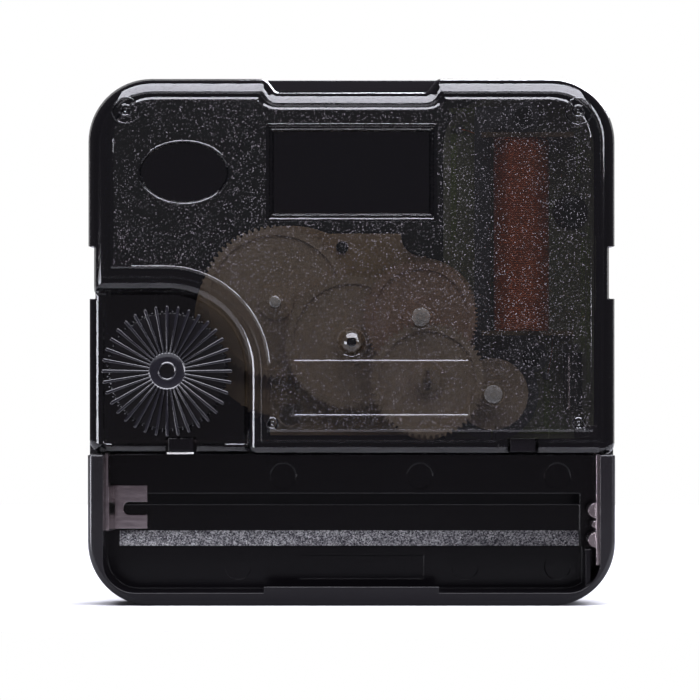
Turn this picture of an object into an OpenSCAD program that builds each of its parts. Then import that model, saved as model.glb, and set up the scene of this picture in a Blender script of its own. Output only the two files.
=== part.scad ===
// Quartz clock movement with a continuously turning second hand, seen from behind.
// Millimetres. The origin is on the hand shaft, in the plane of the dial seat.
// Z points to twelve o'clock, and Y points out of the dial, the way the hands are taken off.
// Each piece is drawn lying on its dial seat, with x to the right as seen from behind,
// y towards twelve o'clock and z towards the rear, and is then stood up.

/* [Body] */
// Width and height of the square body
body_w = 56; // [55.8:0.1:56.4]
// Depth of the body, from the dial seat to the highest point of the rear
body_d = 16; // [16:0.1:17]
// Radius of the body's corners as seen from behind
corner_r = 6.7; // [6:0.1:7]
// Height of the seam between case and cover
seam_z = 10; // [10:0.1:10.2]
// Thickness of the side walls
wall = 1.2; // [1.1:0.05:1.3]
// Thickness of the front wall
front_t = 1.2; // [1.1:0.05:1.2]
// Radius of the case's front edge
front_edge_r = 0.8; // [0.4:0.1:1]
// Radius of the rim round the battery bay
rim_edge_r = 0.5; // [0.3:0.1:0.6]
// Depth of the shallow recess in each side
side_notch_d = 0.65; // [0.4:0.05:0.7]
// Lower end of the side recesses
side_notch_low = 4.6; // [4.4:0.1:5]
// Upper end of the side recesses
side_notch_high = 10.2; // [9.8:0.1:10.6]

/* [Cover] */
// Radius of the cover's rear edge
cover_edge_r = 1.3; // [1:0.1:1.3]
// Radius of the cover's two lower corners
cover_low_r = 1.35; // [1.35:0.05:1.6]
// Thickness of the cover's rear wall
roof_t = 1; // [0.9:0.05:1.1]
// Height of the bearing domes over the panel
dome_h = 0.15; // [0.1:0.05:0.2]
// Height of the textured panel over the smooth border
panel_h = 0.15; // [0.1:0.05:0.2]
// Width of the smooth border at the sides and the top
border = 2.3; // [2:0.1:2.5]
// Width of the smooth border along the battery bay
border_low = 2.6; // [2.4:0.1:2.8]
// Depth of the hanger recess in the top edge
hanger_d = 1.3; // [0.8:0.1:1.4]
// Width of the hanger recess at its mouth
hanger_w = 18.6; // [17:0.2:19]
// Run of each slanted end of the hanger recess
hanger_slant = 1.6; // [1:0.1:2]
// Depth of the bare name panel and of the bare oval
recess_d = 0.3; // [0.2:0.05:0.35]
// Centre of the bare name panel
name_at = [0, 18];
// Width and height of the bare name panel
name_size = [18.2, 10.4];
// Width of the step inside the name panel's edge
name_step = 0.55; // [0.4:0.05:0.7]
// Centre of the bare oval
oval_at = [-17.8, 18];
// Half width and half height of the bare oval
oval_size = [4.9, 3.45];
// Centre of the thin frame over the train
frame_at = [3.15, -4.9];
// Width and height of the thin frame
frame_size = [18.8, 6];
// Width of the thin frame's line
frame_line = 0.2; // [0.15:0.05:0.3]

/* [Knob well] */
// Centre of the setting knob and its shaft
knob_at = [-19.6, -3.1];
// Distance from the knob's centre to the wall of its well
well_r = 8.5; // [8.3:0.1:8.6]
// Height of the well's floor
well_z = 11.6; // [11.5:0.1:11.8]
// Thickness of the well's floor and wall
well_t = 1.1; // [1:0.1:1.1]

/* [Setting knob] */
// Radius over the knob's ribs
knob_r = 6.95; // [6.5:0.05:7]
// Radius of the knob's disc, between the ribs
knob_disc_r = 6.3; // [6:0.1:6.4]
// Number of ribs
knob_ribs = 36; // [24:1:36]
// Thickness of a rib
rib_t = 0.36; // [0.3:0.02:0.4]
// Radius of the knob's hub
knob_hub_r = 2; // [1.9:0.1:2.2]
// Radius of the hole in the middle of the hub
knob_hole_r = 0.75; // [0.6:0.05:0.8]
// Lowest point of the knob
knob_z = 12; // [12:0.1:12.2]
// Thickness of the knob's disc
knob_disc_t = 1.3; // [1:0.1:1.5]
// Highest point of the knob's ribs
knob_top = 15.4; // [15:0.1:15.5]
// Radius of the small beads between the ribs' ends
bead_r = 0.2; // [0.15:0.01:0.22]

/* [Battery bay] */
// Diameter of the largest R6 cell
cell_d = 14.5; // [14.5:0.1:14.6]
// Length of the largest R6 cell
cell_l = 50.5; // [50.5:0.1:50.7]
// Room for a contact at each end of the cell
end_room = 1.15; // [1.1:0.05:1.2]
// Upper edge of the bay
bay_top = -12.05; // [-12.1:0.05:-12]
// Radius of the bay's two lower corners
bay_corner_r = 3.4; // [3:0.1:3.6]
// Thickness of the floor under the cell
groove_t = 0.8; // [0.7:0.05:0.9]
// Height of the flat ledges beside the cell
ledge_z = 1.3; // [1.2:0.05:1.35]
// Upper slope of the cell's groove, outer and inner edge
slope_high = [-16.35, -17.6];
// Lower slope of the cell's groove, inner and outer edge
slope_low = [-20.4, -22.1];
// Left and right end of the cell's groove
groove_x = [-25.2, 24.7];
// Centres of the round ejector marks on the ledges
ledge_marks = [[-7.4, -14.5], [7.4, -14.5], [22.3, -14.5], [-12.3, -24.3], [12.3, -24.3], [22.3, -24.3]];
// Radius of those marks
ledge_mark_r = 1.4; // [1.2:0.1:1.5]
// Left, lower, right and upper edge of the bare field on the lower ledge
ledge_field = [-5.6, -25.6, 7.8, -23.1];
// Depth of the marks and of the field
ledge_mark_d = 0.1; // [0.05:0.05:0.15]
// Depth of the lip that holds the cell in
lip_d = 0.65; // [0.4:0.05:0.7]
// Height of that lip
lip_h = 1.2; // [1:0.1:1.4]
// Distance of the two snap hooks from the middle
hook_x = 18.2; // [18:0.1:18.4]
// Width of a snap hook
hook_w = 2.65; // [2.4:0.05:2.8]

/* [Hand shafts] */
// Outside radius of the threaded bush
bush_r = 4; // [3.9:0.05:4]
// Length of the threaded bush in front of the dial seat
bush_l = 6; // [5:0.5:8]
// Radius of the hour pipe
hour_r = 2.5; // [2.4:0.05:2.5]
// How far the hour pipe stands out of the dial seat
hour_l = 9; // [8.5:0.5:9]
// Radius of the minute pipe
minute_r = 1.6; // [1.5:0.05:1.6]
// How far the minute pipe stands out
minute_l = 12; // [11.5:0.5:12]
// Width across the flats at the minute pipe's end
minute_flats = 2.6; // [2.5:0.1:2.8]
// Length of those flats
minute_flat_l = 2; // [1.5:0.5:2]
// Radius of the second arbor
second_r = 0.5; // [0.45:0.05:0.5]
// How far the second arbor stands out
second_l = 13.5; // [13:0.5:14]
// How much thinner the seats of the hour hand and the second hand are than their shafts
seat_step = 0.2; // [0.18:0.01:0.22]
// Radial clearance of a shaft in its bearing
run_gap = 0.05; // [0.03:0.01:0.08]

/* [Wheel train] */
// Axis of the fifth wheel
fifth_at = [7.37, 2.67];
// Axis of the sixth wheel
sixth_at = [8.12, -4.06];
// Axis of the rotor
rotor_at = [15.06, -5.56];
// Axis of the third wheel
third_at = [-8.12, 4.27];
// Distance of the motion wheel's axis from the hand shaft
motion_a = 7.8; // [7.8:0.05:7.9]
// Pressure angle of every tooth
pressure = 25; // [22:0.5:25]
// Height of a tooth over the pitch circle, in modules
addendum = 0.8; // [0.7:0.05:0.8]
// Depth of a tooth under the pitch circle, in modules
dedendum = 1.05; // [1:0.05:1.1]
// How much thinner a tooth is than half the pitch
tooth_gap = 0.03; // [0.02:0.01:0.05]
// Thickness of a large wheel
wheel_t = 0.8; // [0.7:0.05:0.8]
// Length of a pinion
pinion_l = 1.2; // [1.1:0.05:1.2]
// Radius of a wheel's arbor
arbor_r = 0.5; // [0.45:0.05:0.5]
// Radius of the pivot at an arbor's end
pivot_r = 0.3; // [0.25:0.01:0.3]
// Teeth of the rotor pinion
rotor_teeth = 10; // [10:1:12]
// Teeth of the sixth wheel and of its pinion
sixth_teeth = [60, 10];
// Teeth of the fifth wheel and of its pinion
fifth_teeth = [80, 10];
// Teeth of the second wheel and of its pinion
second_teeth = [100, 10];
// Teeth of the third wheel and of its pinion
third_teeth = [75, 10];
// Teeth of the centre wheel
centre_teeth = 80; // [80:1:80]
// Teeth of the minute pipe's pinion
cannon_teeth = 12; // [12:1:12]
// Teeth of the motion wheel and of its pinion
motion_teeth = [36, 10];
// Teeth of the hour wheel
hour_teeth = 40; // [40:1:40]
// Teeth of the wheel on the setting shaft
setting_teeth = 40; // [40:1:40]

/* [Middle plate] */
// Centre of the plate's large round end
plate_round_at = [-6.6, 2.2];
// Radius of that end
plate_round_r = 10.3; // [10.2:0.1:10.3]
// Left, lower, right and upper edge of the plate's middle
plate_box = [-8.7, -10, 8, 11.65];
// Centre of the lobe below the train
plate_lobe_at = [8, -7];
// Radius of the lobes below the train and round the rotor
plate_lobe_r = 3.6; // [3.5:0.1:3.7]
// Radius of the lobe round the fifth wheel
plate_fifth_r = 6.4; // [6.2:0.1:6.5]
// Posts of the case that the plate is riveted to
plate_posts = [[-13.2, 5.5], [-1, 10.2], [5, -8.6], [12.6, 1.2]];

/* [Motor] */
// Radius of the rotor's magnet
magnet_r = 2.9; // [2.7:0.05:2.9]
// Radius of the rotor's moulded flange
flange_r = 3.85; // [3.5:0.05:3.9]
// Radius of the hole in the stator
stator_hole_r = 3.3; // [3.25:0.05:3.4]
// Outside radius of the stator's ring
stator_r = 5; // [4.8:0.1:5]
// Thickness of the stator plates and of the coil's core
stator_t = 0.8; // [0.6:0.1:0.8]
// Lower face of the stator plates
stator_z = 7.4; // [7.4:0.05:7.5]
// Middle of the coil across the body
coil_x = 18.2; // [18:0.1:18.3]
// Radius of the copper winding
coil_r = 3; // [2.8:0.05:3]
// Lower and upper end of the winding
coil_y = [1.2, 21.9];
// Width of the coil's core
core_w = 2.6; // [2.4:0.1:2.6]
// Left and right edge of the bobbin's flanges
bobbin_x = [13.9, 23.7];
// Thickness of the bobbin's flanges
bobbin_t = 0.5; // [0.4:0.05:0.5]
// Rivet at the core's upper end
core_top = [18.43, 24.15];
// Rivet at the core's lower end
core_low = [19.3, -1.6];
// Left and right edge of the long stator strip
strip_x = [13.2, 15];

/* [Circuit board and contacts] */
// Lower face of the circuit board
board_z = 4.6; // [4.6:0.05:4.7]
// Thickness of the circuit board
board_t = 0.8; // [0.6:0.1:0.8]
// Left, lower, right and upper edge of the circuit board
board_box = [9.9, -10.4, 26.1, 26.1];
// Radius of the clearance cut round the wheels
board_cut_r = 9.6; // [9.4:0.1:10]
// Centre of the chip under its resin drop
chip_at = [23.6, 14];
// Radius of the resin drop
chip_r = 1.9; // [1.5:0.1:1.9]
// Centre of the quartz crystal's can
crystal_at = [23.8, -4.2];
// Diameter and length of the crystal's can
crystal_size = [2.1, 6.2];
// Thickness of the contact sheet
sheet_t = 0.3; // [0.25:0.05:0.3]
// Lower and upper edge of the left contact
left_contact_y = [-20.2, -15.5];
// How far the left contact lies on the floor
left_contact_l = 4.3; // [4:0.1:4.4]
// Radius of the two bumps on the right contact
bump_r = 0.8; // [0.6:0.05:0.85]

/* [Hidden] */

$fn = 64;
centre_at = [0, 0];
half = body_w / 2;
past = 1;
weld = 0.1;
play = 0.1;
end_play = 0.2;
edge_steps = 5;

// Heights of the layers between the front wall and the cover
hour_z = 1.7;
motion_z = 3;
spring_z = motion_z + pinion_l + 0.05;
spring_t = 0.3;
centre_z = 4.6;
plate_z = 6;
plate_t = 1;
plate_top = plate_z + plate_t;
third_z = 7.6;
second_z = 9;
fifth_z = 10.4;
sixth_z = 11.8;
fifth_boss_z = second_z - 0.4;
sixth_boss_z = fifth_z - 0.5;
boss_z = 13.2;
pivot_top = 14.1;
pivot_l = 0.9;
pivot_room = 0.2;

panel_z = body_d - dome_h;
border_z = panel_z - panel_h;
roof_z = panel_z - roof_t;

// Case and bay
cell_gap = 0.1;
bay_low = bay_top - cell_d - cell_gap;
bay_x = cell_l / 2 + end_room;
chamber_low = bay_top + wall;
chamber_x = half - wall;
chamber_low_r = 0.5;
bay_top_r = 0.1;
hook_y = [-11.25, -10.25];
hook_h = 1.2;
hook_root_z = seam_z - 3;
hook_nose = 0.4;
hook_ledge = 14;
hook_gap = 0.1;
window_w = hook_w + 0.65;
rib_x = [24.95, 25.5];
rib_y = [-26.1, -22.1];
pocket_low = -24;
rib_z = 13;
slot_w = sheet_t + 0.3;
panel_low_r = 0.3;

// Posts of the case: the plate's, the board's and the wheels'
post_r = 1.2;
pin_r = 0.6;
pin_rise = 0.3;
board_posts = [[24.6, -8.4], [24.2, 19.5], [12, 21]];
small_post_r = 0.75;
third_post_z = 4.3;
motion_pin_r = 0.7;
motion_post_z = 4.3;
shaft_post_r = 1.7;
shaft_post_z = 2.7;
rivet_r = 0.7;
rivet_head_r = 1;
rivet_head_t = 0.6;
eye_r = 1.7;

// Holes of the plate round the third wheel's arbor and for the cover's largest peg
third_hole_r = 1.7;
peg_hole_r = 2.2;

// Motor: bobbin, stator strip and rotor
bobbin_wall = 0.6;
strip_half = 1.1;
strip_foot = 0.8;
strip_head = 3;
iron_gap = 0.15;
rotor_hub_r = 0.8;
magnet_z = [stator_z - 0.1, stator_z + 1.5];
rotor_flange_z = [stator_z + 1.9, stator_z + 2.5];

// Circuit board and the drop of resin
board_low_r = 0.5;
board_play = 0.6;
chip_h = 0.8;
drop_steps = 8;

// Left contact: heights of its upright part, slot in its foot and tab under the board
left_top = 9;
left_slot_x = 2.4;
left_slot_y = [-18.7, -17.3];
left_rail_z = 2;
left_tab_x = [0.3, 2];
left_tab_l = 2;
// Its spring leaf: distance from the sheet and height
leaf = [[-0.1, 9], [-0.1, 8.6], [0.35, 5], [0.1, 3.2], [0.3, 3], [0.65, 5], [0.1, 9]];
// Right contact: lower and upper end, height, tab on the board, and its bumps
right_y = [-23.8, -9];
right_top = 12.5;
right_tab = [24, -10.3];
bumps = [[-18, bump_r], [-21.15, bump_r], [-19.5, bump_r / 2]];
bump_z = [4, 11];

// Wheels: width of the rim, radius of the hub, depth of the web's recess
rim_w = 0.9;
web_hub_r = 1.9;
web_d = 0.2;
sixth_hub_r = 1.4;
sixth_slot = [0.2, 1, 0.4];
second_hub_r = 1.1;
second_hub_l = 2;
spring_r = 2;
hour_wheel_t = 1;

// Pegs of the cover: centre, radius and lowest point
pegs = [
    [[7.53, 11.43], 1.9, plate_top + play],
    [[-6.57, -7.69], 1.28, plate_top + play],
    [[19.34, 0.9], 1.07, 11.9],
    [core_top, 1.28, 9.9]
];
// Small round marks on the panel: centre, radius
pips = [[[-24, 24.6], 0.65], [[24.1, 24.5], 0.65], [[-8.4, -8.65], 0.6], [[24.1, -8.65], 0.65]];
// Domes over the bearings: centre, radius
domes = [[centre_at, 1.07], [fifth_at, 0.96], [rotor_at, 0.96], [third_at, 0.65]];
bearings = [centre_at, fifth_at, sixth_at, rotor_at, third_at];
bearing_r = 1.2;

// Shafts
setting_r = 1.2;
setting_pivot_r = 0.8;
setting_tip_r = 0.9;
setting_tip_z = 14.2;
hour_run_r = hour_r + seat_step;
second_run_r = second_r + seat_step;
bush_neck_r = 4.3;
bush_flange_r = 5.2;
bush_flange_z = 0.4;
cannon_hub_r = 1.2;
cannon_top = 5.8;
clutch_gap = 0.02;

// Centre distances give the modules
function module_of(a, b, teeth) = 2 * norm(a - b) / teeth;
m_sixth = module_of(rotor_at, sixth_at, rotor_teeth + sixth_teeth[0]);
m_fifth = module_of(sixth_at, fifth_at, sixth_teeth[1] + fifth_teeth[0]);
m_second = module_of(fifth_at, centre_at, fifth_teeth[1] + second_teeth[0]);
m_third = module_of(centre_at, third_at, second_teeth[1] + third_teeth[0]);
m_centre = module_of(third_at, centre_at, third_teeth[1] + centre_teeth);
m_cannon = 2 * motion_a / (cannon_teeth + motion_teeth[0]);
m_hour = 2 * motion_a / (motion_teeth[1] + hour_teeth);

// The motion wheel stands where it meets both the minute pipe and the setting wheel
setting_a = m_cannon * (motion_teeth[0] + setting_teeth) / 2;
knob_dist = norm(knob_at);
knob_dir = knob_at / knob_dist;
along = (motion_a * motion_a - setting_a * setting_a + knob_dist * knob_dist) / (2 * knob_dist);
aside = sqrt(motion_a * motion_a - along * along);
motion_at = along * knob_dir + aside * [-knob_dir[1], knob_dir[0]];

// Turn a pinion so that it meshes with a wheel that has a tooth on the x axis
function direction(from, to) = atan2(to[1] - from[1], to[0] - from[0]);
function mesh_turn(from, to, z_from, z_to) =
    direction(from, to) * (1 + z_from / z_to) + 180 - 180 / z_to;

// Half the angle of a tooth at a radius, and the outline of a whole wheel
function involute(angle) = tan(angle) * 180 / PI - angle;
function half_tooth(m, z, radius) =
    90 / z + involute(pressure) - involute(acos(min(1, m * z / 2 * cos(pressure) / radius)))
    - tooth_gap / (m * z) * 180 / PI;
function flank(m, z, steps) =
    let (tip = m * (z / 2 + addendum), root = m * (z / 2 - dedendum), base = m * z / 2 * cos(pressure))
    let (start = max(root, base))
    concat(
        root < base ? [[root, half_tooth(m, z, base)]] : [],
        [for (i = [0:steps]) let (r = start + (tip - start) * i / steps) [r, half_tooth(m, z, r)]]
    );
function tooth(m, z, steps) =
    let (f = flank(m, z, steps), n = len(f) - 1)
    concat([for (p = f) [p[0], -p[1]]], [for (i = [n:-1:0]) f[i]]);
function wheel_points(m, z, turn, steps) = [
    for (k = [0:z - 1], p = tooth(m, z, steps))
        [p[0] * cos(p[1] + turn + k * 360 / z), p[0] * sin(p[1] + turn + k * 360 / z)]
];

function oval_points(size, n) = [
    for (k = [0:n - 1]) [size[0] * cos(k * 360 / n), size[1] * sin(k * 360 / n)]
];

// Basic shapes
module stand_up() rotate([90, 0, 0]) children();

module at(p, z = 0) translate([p[0], p[1], z]) children();

module box(x, y, z) translate([x[0], y[0], z[0]]) cube([x[1] - x[0], y[1] - y[0], z[1] - z[0]]);

module rod(r, z) translate([0, 0, z[0]]) cylinder(r = r, h = z[1] - z[0]);

module ring(outer, inner, z) difference() {
    rod(outer, z);
    rod(inner, [z[0] - past, z[1] + past]);
}

module gear(m, z, turn, height, steps = 3) translate([0, 0, height[0]])
    linear_extrude(height[1] - height[0]) polygon(wheel_points(m, z, turn, steps));

// Side of a block: r wide, h high, with its outer rear edge rounded by e
module rounded_side(r, h, e) polygon(concat(
    [[0, 0], [r, 0]],
    [for (k = [0:edge_steps]) [r - e + e * cos(k * 90 / edge_steps), h - e + e * sin(k * 90 / edge_steps)]],
    [[0, h]]
));

module side_bar(length, r, h, e) rotate([90, 0, 90]) linear_extrude(length) rounded_side(r, h, e);

// Block with rounded corners and a rounded rear edge
module soft_block(x, y, r_low, r_high, z, e) translate([0, 0, z[0]]) {
    h = z[1] - z[0];
    depth = min(r_low, r_high);
    for (side = [0, 1]) mirror([side, 0, 0]) {
        right = side == 0 ? x[1] : -x[0];
        translate([right - r_low, y[0] + r_low, 0]) rotate_extrude() rounded_side(r_low, h, e);
        translate([right - r_high, y[1] - r_high, 0]) rotate_extrude() rounded_side(r_high, h, e);
        translate([right - depth, y[0] + r_low, 0]) rotate([0, 0, 90]) mirror([0, 1, 0])
            side_bar(y[1] - y[0] - r_low - r_high, depth, h, e);
    }
    translate([x[0] + r_high, y[1] - depth, 0]) side_bar(x[1] - x[0] - 2 * r_high, depth, h, e);
    translate([x[0] + r_low, y[0] + depth, 0]) mirror([0, 1, 0])
        side_bar(x[1] - x[0] - 2 * r_low, depth, h, e);
    box([x[0] + depth, x[1] - depth], [y[0] + depth, y[1] - r_high], [0, h]);
    box([x[0] + r_high, x[1] - r_high], [y[0] + r_high, y[1] - depth], [0, h]);
}

// Straight-sided block with rounded corners
module slab(x, y, r_low, r_high, z) {
    box([x[0], x[1]], [y[0] + r_low, y[1] - r_high], z);
    box([x[0] + r_low, x[1] - r_low], [y[0], y[0] + r_low + past], z);
    box([x[0] + r_high, x[1] - r_high], [y[1] - r_high - past, y[1]], z);
    for (cx = [x[0] + r_low, x[1] - r_low]) at([cx, y[0] + r_low]) rod(r_low, z);
    for (cx = [x[0] + r_high, x[1] - r_high]) at([cx, y[1] - r_high]) rod(r_high, z);
}

// Recess that both sides of the body share
module side_notches(z) for (side = [-1, 1])
    box([side * half - side_notch_d, side * half + side_notch_d], [side_notch_low, side_notch_high], z);

module notch_backing(z) for (side = [-1, 1])
    box([side * (half - wall) - side_notch_d, side * (half - wall) + side_notch_d],
        [side_notch_low - wall, side_notch_high + wall], z);

// Front case: black moulding with the battery bay
module case_shell() {
    difference() {
        union() {
            translate([0, 0, seam_z]) mirror([0, 0, 1])
                soft_block([-half, half], [-half, half], corner_r, corner_r, [0, seam_z], front_edge_r);
            intersection() {
                soft_block([-half, half], [-half, half], corner_r, corner_r,
                    [seam_z / 2, body_d - dome_h], rim_edge_r);
                box([-half, half], [-half - past, bay_top], [0, body_d]);
            }
        }
        difference() {
            slab([-chamber_x, chamber_x], [chamber_low, chamber_x], chamber_low_r, corner_r - wall,
                [front_t, seam_z + past]);
            notch_backing([0, body_d]);
        }
        slab([-bay_x, bay_x], [bay_low, bay_top], bay_corner_r, bay_top_r, [ledge_z, body_d + past]);
        side_notches([-past, body_d]);
    }
}

module cell_groove() {
    depth = ledge_z + past;
    translate([groove_x[0], 0, 0]) rotate([90, 0, 90]) linear_extrude(groove_x[1] - groove_x[0]) polygon([
        [slope_high[0], ledge_z], [slope_high[0], depth], [slope_low[1], depth], [slope_low[1], ledge_z],
        [slope_low[0], groove_t], [slope_high[1], groove_t]
    ]);
}

module ledge_marks_cut(z) {
    for (p = ledge_marks) at(p) rod(ledge_mark_r, z);
    box([ledge_field[0], ledge_field[2]], [ledge_field[1], ledge_field[3]], z);
}

// The left hook grips the well's floor and the right one a ledge inside the cover's window
module snap_hook(x, ledge) {
    top = ledge + hook_gap + hook_h;
    box([x - hook_w / 2, x + hook_w / 2], hook_y, [hook_root_z, top]);
    box([x - hook_w / 2, x + hook_w / 2], [hook_y[0] - hook_nose, hook_y[0] + hook_nose],
        [ledge + hook_gap, top]);
}

module case_posts() {
    for (p = plate_posts) at(p) {
        rod(post_r, [front_t / 2, plate_z]);
        rod(pin_r, [plate_z - past, plate_top + pin_rise]);
    }
    for (p = board_posts) at(p) rod(post_r, [front_t / 2, board_z]);
    for (p = [core_top, core_low]) at(p) {
        rod(post_r, [front_t / 2, stator_z]);
        rod(rivet_r, [stator_z - past, stator_z + 2 * stator_t]);
        rod(rivet_head_r, [stator_z + 2 * stator_t, stator_z + 2 * stator_t + rivet_head_t]);
    }
    at(motion_at) rod(motion_pin_r, [front_t / 2, motion_post_z]);
    at(third_at) difference() {
        rod(small_post_r, [front_t / 2, third_post_z]);
        rod(pivot_r + run_gap, [third_post_z - pivot_l - pivot_room, third_post_z + past]);
    }
    at(knob_at) difference() {
        rod(shaft_post_r, [front_t / 2, shaft_post_z]);
        rod(setting_pivot_r + run_gap, [front_t, shaft_post_z + past]);
    }
}

module front_case() color("#17171a") stand_up() {
    difference() {
        union() {
            case_shell();
            case_posts();
            snap_hook(-hook_x, well_z);
            snap_hook(hook_x, hook_ledge);
            box([-hanger_w / 2, hanger_w / 2], [bay_low - past, bay_low + lip_d],
                [panel_z - lip_h, panel_z]);
            box(rib_x, rib_y, [groove_t / 2, rib_z]);
        }
        cell_groove();
        ledge_marks_cut([ledge_z - ledge_mark_d, ledge_z + ledge_mark_d]);
        box([rib_x[1], bay_x], [pocket_low, bay_top], [ledge_z, body_d]);
        rod(bush_neck_r, [-past, bush_flange_z + past]);
        rod(bush_flange_r, [bush_flange_z, front_t + past]);
        for (side = [-1, 1]) box(
            [side * (bay_x - sheet_t / 2) - slot_w / 2, side * (bay_x - sheet_t / 2) + slot_w / 2],
            [bay_top - past, chamber_low + past], [ledge_z, seam_z + past]);
    }
}

// Rear cover: smoky transparent moulding
module well_block(grow, z) {
    r = well_r + grow;
    at(knob_at) rod(r, z);
    box([-half - past, knob_at[0]], [-half, knob_at[1] + r], z);
    box([-half - past, knob_at[0] + r], [-half, knob_at[1]], z);
}

module hanger_recess(grow, z) translate([0, 0, z[0]]) linear_extrude(z[1] - z[0]) polygon([
    [-hanger_w / 2 - grow, half + past], [-hanger_w / 2 - grow, half],
    [-hanger_w / 2 - grow + hanger_slant, half - hanger_d - grow],
    [hanger_w / 2 + grow - hanger_slant, half - hanger_d - grow],
    [hanger_w / 2 + grow, half], [hanger_w / 2 + grow, half + past]
]);

module snap_window(x) {
    box([x - window_w / 2, x + window_w / 2], [hook_y[0] - hook_nose - hook_gap, hook_y[1] + hook_gap],
        [hook_ledge, body_d + past]);
    box([x - window_w / 2, x + window_w / 2], [hook_y[0] - hook_gap, hook_y[1] + hook_gap],
        [seam_z - past, body_d + past]);
}

module cover_panel() difference() {
    slab([-half + border, half - border], [bay_top + border_low, half - border],
        panel_low_r, corner_r - border, [border_z - weld, panel_z]);
    well_block(border, [0, body_d + past]);
    hanger_recess(border, [0, body_d + past]);
}

module cover_marks() {
    at(name_at) {
        box([-name_size[0] / 2, name_size[0] / 2], [-name_size[1] / 2, name_size[1] / 2],
            [panel_z - recess_d / 2, body_d]);
        box([-name_size[0] / 2 + name_step, name_size[0] / 2 - name_step],
            [-name_size[1] / 2 + name_step, name_size[1] / 2 - name_step], [panel_z - recess_d, body_d]);
    }
    at(oval_at, panel_z - recess_d) linear_extrude(body_d) polygon(oval_points(oval_size, 48));
}

module cover_frame() at(frame_at) difference() {
    box([-frame_size[0] / 2, frame_size[0] / 2], [-frame_size[1] / 2, frame_size[1] / 2],
        [panel_z - weld, panel_z + dome_h / 2]);
    box([-frame_size[0] / 2 + frame_line, frame_size[0] / 2 - frame_line],
        [-frame_size[1] / 2 + frame_line, frame_size[1] / 2 - frame_line], [0, body_d + past]);
}

module rear_cover() color("#3a3f3a", 0.6) stand_up() {
    difference() {
        union() {
            soft_block([-half, half], [bay_top, half], cover_low_r, corner_r, [seam_z, border_z],
                cover_edge_r);
            cover_panel();
        }
        difference() {
            slab([-chamber_x, chamber_x], [chamber_low, chamber_x], chamber_low_r, corner_r - wall,
                [seam_z - past, roof_z]);
            well_block(well_t, [well_z - well_t, body_d]);
            hanger_recess(wall, [0, body_d]);
            notch_backing([0, body_d]);
            for (x = [-hook_x, hook_x]) box([x - window_w / 2 - wall, x + window_w / 2 + wall],
                [chamber_low - past, hook_y[1] + hook_gap + wall], [seam_z, body_d]);
            for (p = pegs) at(p[0]) rod(p[1], [p[2], body_d]);
            for (p = bearings) at(p) rod(bearing_r, [boss_z, body_d]);
        }
        well_block(0, [well_z, body_d + past]);
        hanger_recess(0, [0, body_d + past]);
        side_notches([0, body_d + past]);
        cover_marks();
        for (side = [-1, 1]) snap_window(side * hook_x);
        for (p = bearings) at(p) rod(pivot_r + run_gap, [boss_z - past, pivot_top + pivot_room]);
        at(knob_at) rod(setting_r + run_gap, [seam_z - past, well_z + past]);
    }
    cover_frame();
    for (d = domes) at(d[0]) rod(d[1], [panel_z - weld, body_d]);
    for (d = pips) at(d[0]) rod(d[1], [panel_z - weld, panel_z + dome_h / 2]);
}

// Threaded brass bush, moulded into the front wall
module threaded_bush() color("#c9a24a") stand_up() difference() {
    union() {
        rod(bush_r, [-bush_l, bush_flange_z]);
        rod(bush_neck_r, [0, bush_flange_z]);
        rod(bush_flange_r, [bush_flange_z, front_t]);
    }
    rod(hour_run_r + run_gap, [-bush_l - past, front_t + past]);
}

// Middle plate: natural plastic, carries the inner pivots
module plate_outline(z) {
    at(plate_round_at) rod(plate_round_r, z);
    box([plate_box[0], plate_box[2]], [plate_box[1], plate_box[3]], z);
    at(fifth_at) rod(plate_fifth_r, z);
    for (p = [plate_lobe_at, rotor_at]) at(p) rod(plate_lobe_r, z);
    box([plate_lobe_at[0], rotor_at[0]], [rotor_at[1] - plate_lobe_r, rotor_at[1] + plate_lobe_r], z);
}

module plate_boss(p, top) at(p) difference() {
    rod(post_r - play, [plate_z + weld, top]);
    rod(pivot_r + run_gap, [top - pivot_l - pivot_room, top + past]);
}

module middle_plate() color("#d8cdb4") stand_up() {
    difference() {
        plate_outline([plate_z, plate_top]);
        for (p = plate_posts) at(p) rod(pin_r + run_gap, [plate_z - past, plate_top + past]);
        rod(second_r + run_gap, [plate_z - past, plate_top + past]);
        at(third_at) rod(third_hole_r, [plate_z - past, plate_top + past]);
        at(pegs[0][0]) rod(peg_hole_r, [plate_z - past, plate_top + past]);
        for (p = [rotor_at, fifth_at, sixth_at]) at(p)
            rod(pivot_r + run_gap, [plate_z - past, plate_top + past]);
        box([bobbin_x[0] - play, half], [0, half], [0, body_d]);
    }
    plate_boss(fifth_at, fifth_boss_z);
    plate_boss(sixth_at, sixth_boss_z);
}

// Coil: bobbin, winding and core
coil_z = stator_z + 1.5 * stator_t;
tube_w = core_w + 2 * bobbin_wall;
tube_h = stator_t + 2 * bobbin_wall;

module bobbin_hole() box(
    [coil_x - core_w / 2 - run_gap, coil_x + core_w / 2 + run_gap],
    [coil_y[0] - 2 * past, coil_y[1] + 2 * past],
    [coil_z - stator_t / 2 - run_gap, coil_z + stator_t / 2 + run_gap]);

module coil_bobbin() color("#e6e0cf") stand_up() difference() {
    union() {
        box([coil_x - tube_w / 2, coil_x + tube_w / 2], [coil_y[0] - weld, coil_y[1] + weld],
            [coil_z - tube_h / 2, coil_z + tube_h / 2]);
        for (y = [coil_y[0] - bobbin_t, coil_y[1]])
            box(bobbin_x, [y, y + bobbin_t], [coil_z - coil_r - play, coil_z + coil_r + play]);
    }
    bobbin_hole();
    box([0, strip_x[1] + iron_gap], [0, half], [stator_z - iron_gap, stator_z + stator_t + iron_gap]);
}

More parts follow.
